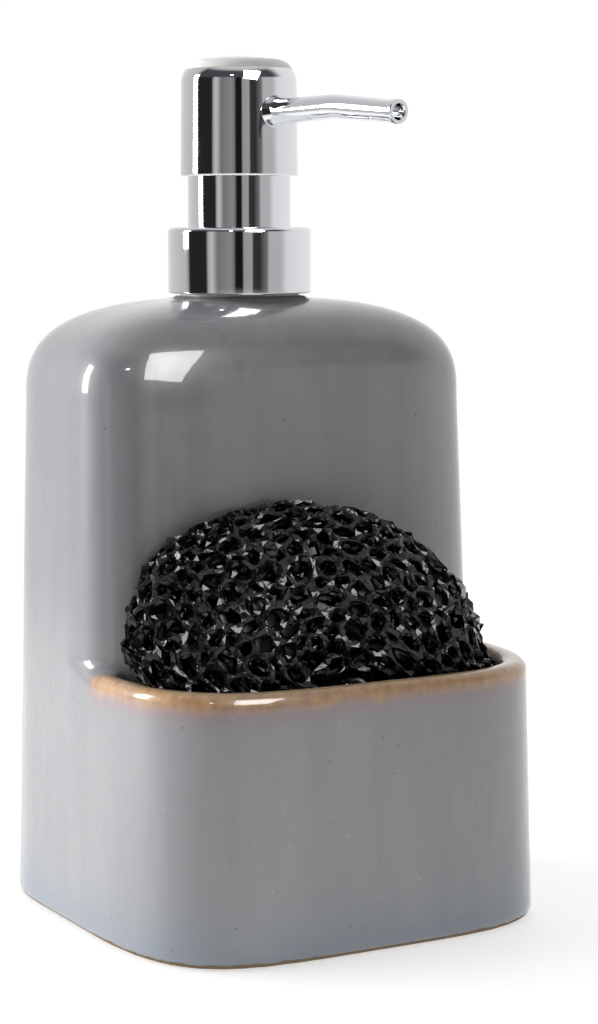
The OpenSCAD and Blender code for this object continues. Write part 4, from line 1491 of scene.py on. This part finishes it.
@dataclass
class Studio:
    """Pale floor, a room of light and dark panels, soft lights and the camera."""

    floor_z: float = 0.0
    floor_glow: float = 0.50
    floor_shown: float = 0.06
    camera_place: tuple[float, float, float] = (-264.97, -481.30, 150.69)
    azimuth: float = -29.146
    tilt: float = 6.820
    roll: float = 0.093
    focal_mm: float = 89.156
    shift: tuple[float, float] = (0.00814, 0.00736)
    lights: Sequence[SoftLight] = (
        SoftLight("left_window", -95.0, 14.0, 1.4, 0.28, 0.62, 7.5, LightRole.GLOSS),
        SoftLight("right_window", 28.5, 32.0, 1.4, 0.72, 1.02, 22.0, LightRole.GLOSS, roll=-14.0),
        SoftLight("small_window", -14.0, 31.0, 1.4, 0.12, 0.05, 1.2, LightRole.GLOSS),
        SoftLight("left_wall", -98.0, 12.0, 1.6, 1.5, 1.2, 44.0, LightRole.SHADING),
        SoftLight("front_key", 40.0, 36.0, 1.5, 0.45, 0.45, 2.4, LightRole.SHADING),
        SoftLight("top_panel", -150.0, 75.0, 1.5, 1.0, 1.0, 3.2, LightRole.SHADING),
    )

    def floor(self) -> None:
        """A round pale floor that fades out towards its edge."""
        rings, steps, reach = 14, 72, 700.0
        verts = [(0.0, 0.0, self.floor_z)]
        faces = []
        for j in range(1, rings + 1):
            for i in range(steps):
                a = 2 * math.pi * i / steps
                r = reach * j / rings
                verts.append((r * math.cos(a), r * math.sin(a), self.floor_z))
        for i in range(steps):
            k = (i + 1) % steps
            faces.append((0, 1 + i, 1 + k))
            for j in range(rings - 1):
                low = 1 + j * steps
                faces.append((low + i, low + steps + i, low + steps + k, low + k))
        floor = mesh_piece("floor", verts, faces)
        material, t, shader = new_material("pale_floor")
        place = t.place()
        cloud = t.noise(place, 3.0, 2.0)
        t.feed(shader, "Base Color", t.mix(t.band(cloud, 0.3, 0.7), (0.60, 0.60, 0.60),
                                           (0.62, 0.62, 0.62)))
        t.feed(shader, "Emission Color", (1.0, 1.0, 1.0))
        ray = t.node("ShaderNodeLightPath").outputs["Is Camera Ray"]
        t.feed(shader, "Emission Strength",
               t.maths("MULTIPLY_ADD", ray, self.floor_shown, self.floor_glow))
        t.feed(shader, "Roughness", 0.6)
        t.feed(shader, "Specular IOR Level", 0.2)
        far = t.node("ShaderNodeVectorMath", operation="LENGTH", in_0=place).outputs["Value"]
        t.feed(shader, "Alpha", t.band(far, 0.25, 0.66, 1.0, 0.0))
        dress(floor, material)

    def surroundings(self) -> None:
        """Light that comes from the room: white walls with dark gaps beside the camera."""
        world = bpy.data.worlds.new("studio_room")
        bpy.context.scene.world = world
        world.use_nodes = True
        world.node_tree.nodes.clear()
        t = Tree(world.node_tree)
        way = t.node("ShaderNodeTexCoord").outputs["Generated"]
        turned = t.out("ShaderNodeVectorRotate", rotation_type="Z_AXIS", Vector=way,
                        Angle=math.radians(-CAMERA_SIDE))
        parts = t.node("ShaderNodeSeparateXYZ", in_0=turned)
        side = t.maths("ARCTAN2", parts.outputs[1], parts.outputs[0])
        side = t.maths("MULTIPLY", side, 180.0 / math.pi)
        ramp = t.node("ShaderNodeValToRGB", Fac=t.maths("MULTIPLY_ADD", side, 1 / 360.0, 0.5))
        ramp.color_ramp.interpolation = "LINEAR"
        dots = ramp.color_ramp.elements
        while len(dots) > 1:
            dots.remove(dots[0])
        for n, (degree, level) in enumerate(ROOM):
            dot = dots[0] if n == 0 else dots.new((degree + 180) / 360.0)
            dot.position = (degree + 180) / 360.0
            dot.color = (level, level * 1.002, level * 1.01, 1.0)
        rise = parts.outputs[2]
        ahead = t.out("ShaderNodeMapRange", clamp=True, interpolation_type="SMOOTHSTEP",
                       in_0=parts.outputs[0], in_1=-0.25, in_2=0.25)
        dim = t.maths("MULTIPLY", t.band(rise, 0.22, 0.34), ahead)
        mirror = t.mix(dim, ramp.outputs[0], (0.07, 0.07, 0.08))
        mirror = t.mix(t.band(rise, 0.68, 0.90), mirror, (0.66, 0.66, 0.67))
        ray = t.node("ShaderNodeLightPath")
        soft = t.mix(t.maths("MULTIPLY", ahead, 0.6), mirror, (0.0, 0.0, 0.0))
        seen = t.mix(ray.outputs["Is Diffuse Ray"], mirror, soft)
        seen = t.mix(ray.outputs["Is Camera Ray"], seen, (1.0, 1.0, 1.0))
        back = t.node("ShaderNodeBackground", Color=seen, Strength=1.0)
        out = t.node("ShaderNodeOutputWorld")
        t.tree.links.new(back.outputs[0], out.inputs[0])

    def camera(self) -> None:
        """The camera, from the front and its left."""
        data = bpy.data.cameras.new("camera")
        data.sensor_width, data.lens = 36.0, self.focal_mm
        data.shift_x, data.shift_y = self.shift
        data.clip_start, data.clip_end = 0.01, 30.0
        camera = bpy.data.objects.new("camera", data)
        bpy.context.scene.collection.objects.link(camera)
        az, tilt, roll = (math.radians(v) for v in (self.azimuth, self.tilt, self.roll))
        back = Vector((math.sin(az), -math.cos(az), 0.0))
        ahead = -back * math.cos(tilt) - Vector((0.0, 0.0, math.sin(tilt)))
        right = Vector((math.cos(az), math.sin(az), 0.0))
        up = right.cross(ahead)
        side = right * math.cos(roll) - up * math.sin(roll)
        top = up * math.cos(roll) + right * math.sin(roll)
        turn = Matrix((side, top, -ahead)).transposed().to_4x4()
        camera.matrix_world = Matrix.Translation(Vector(self.camera_place) * MM) @ turn
        bpy.context.scene.camera = camera

    def build(self) -> None:
        """Set up everything that isn't the object."""
        self.floor()
        self.surroundings()
        for light in self.lights:
            light.place()
        self.camera()
        bpy.context.scene.view_settings.view_transform = "Standard"
        log.info("studio: %d lights", len(self.lights))


def main() -> None:
    """Build each part of the dispenser and its studio in turn."""
    logging.basicConfig(level=logging.INFO, format="%(name)s: %(message)s", stream=sys.stdout)
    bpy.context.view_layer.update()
    shared = SharedEffects()
    body = CeramicBody().build()
    dress(body, GlazeFinish().material(shared))
    PressPump().build(shared)
    Scourer().build(shared)
    Studio().build()


if __name__ == "__main__":
    main()
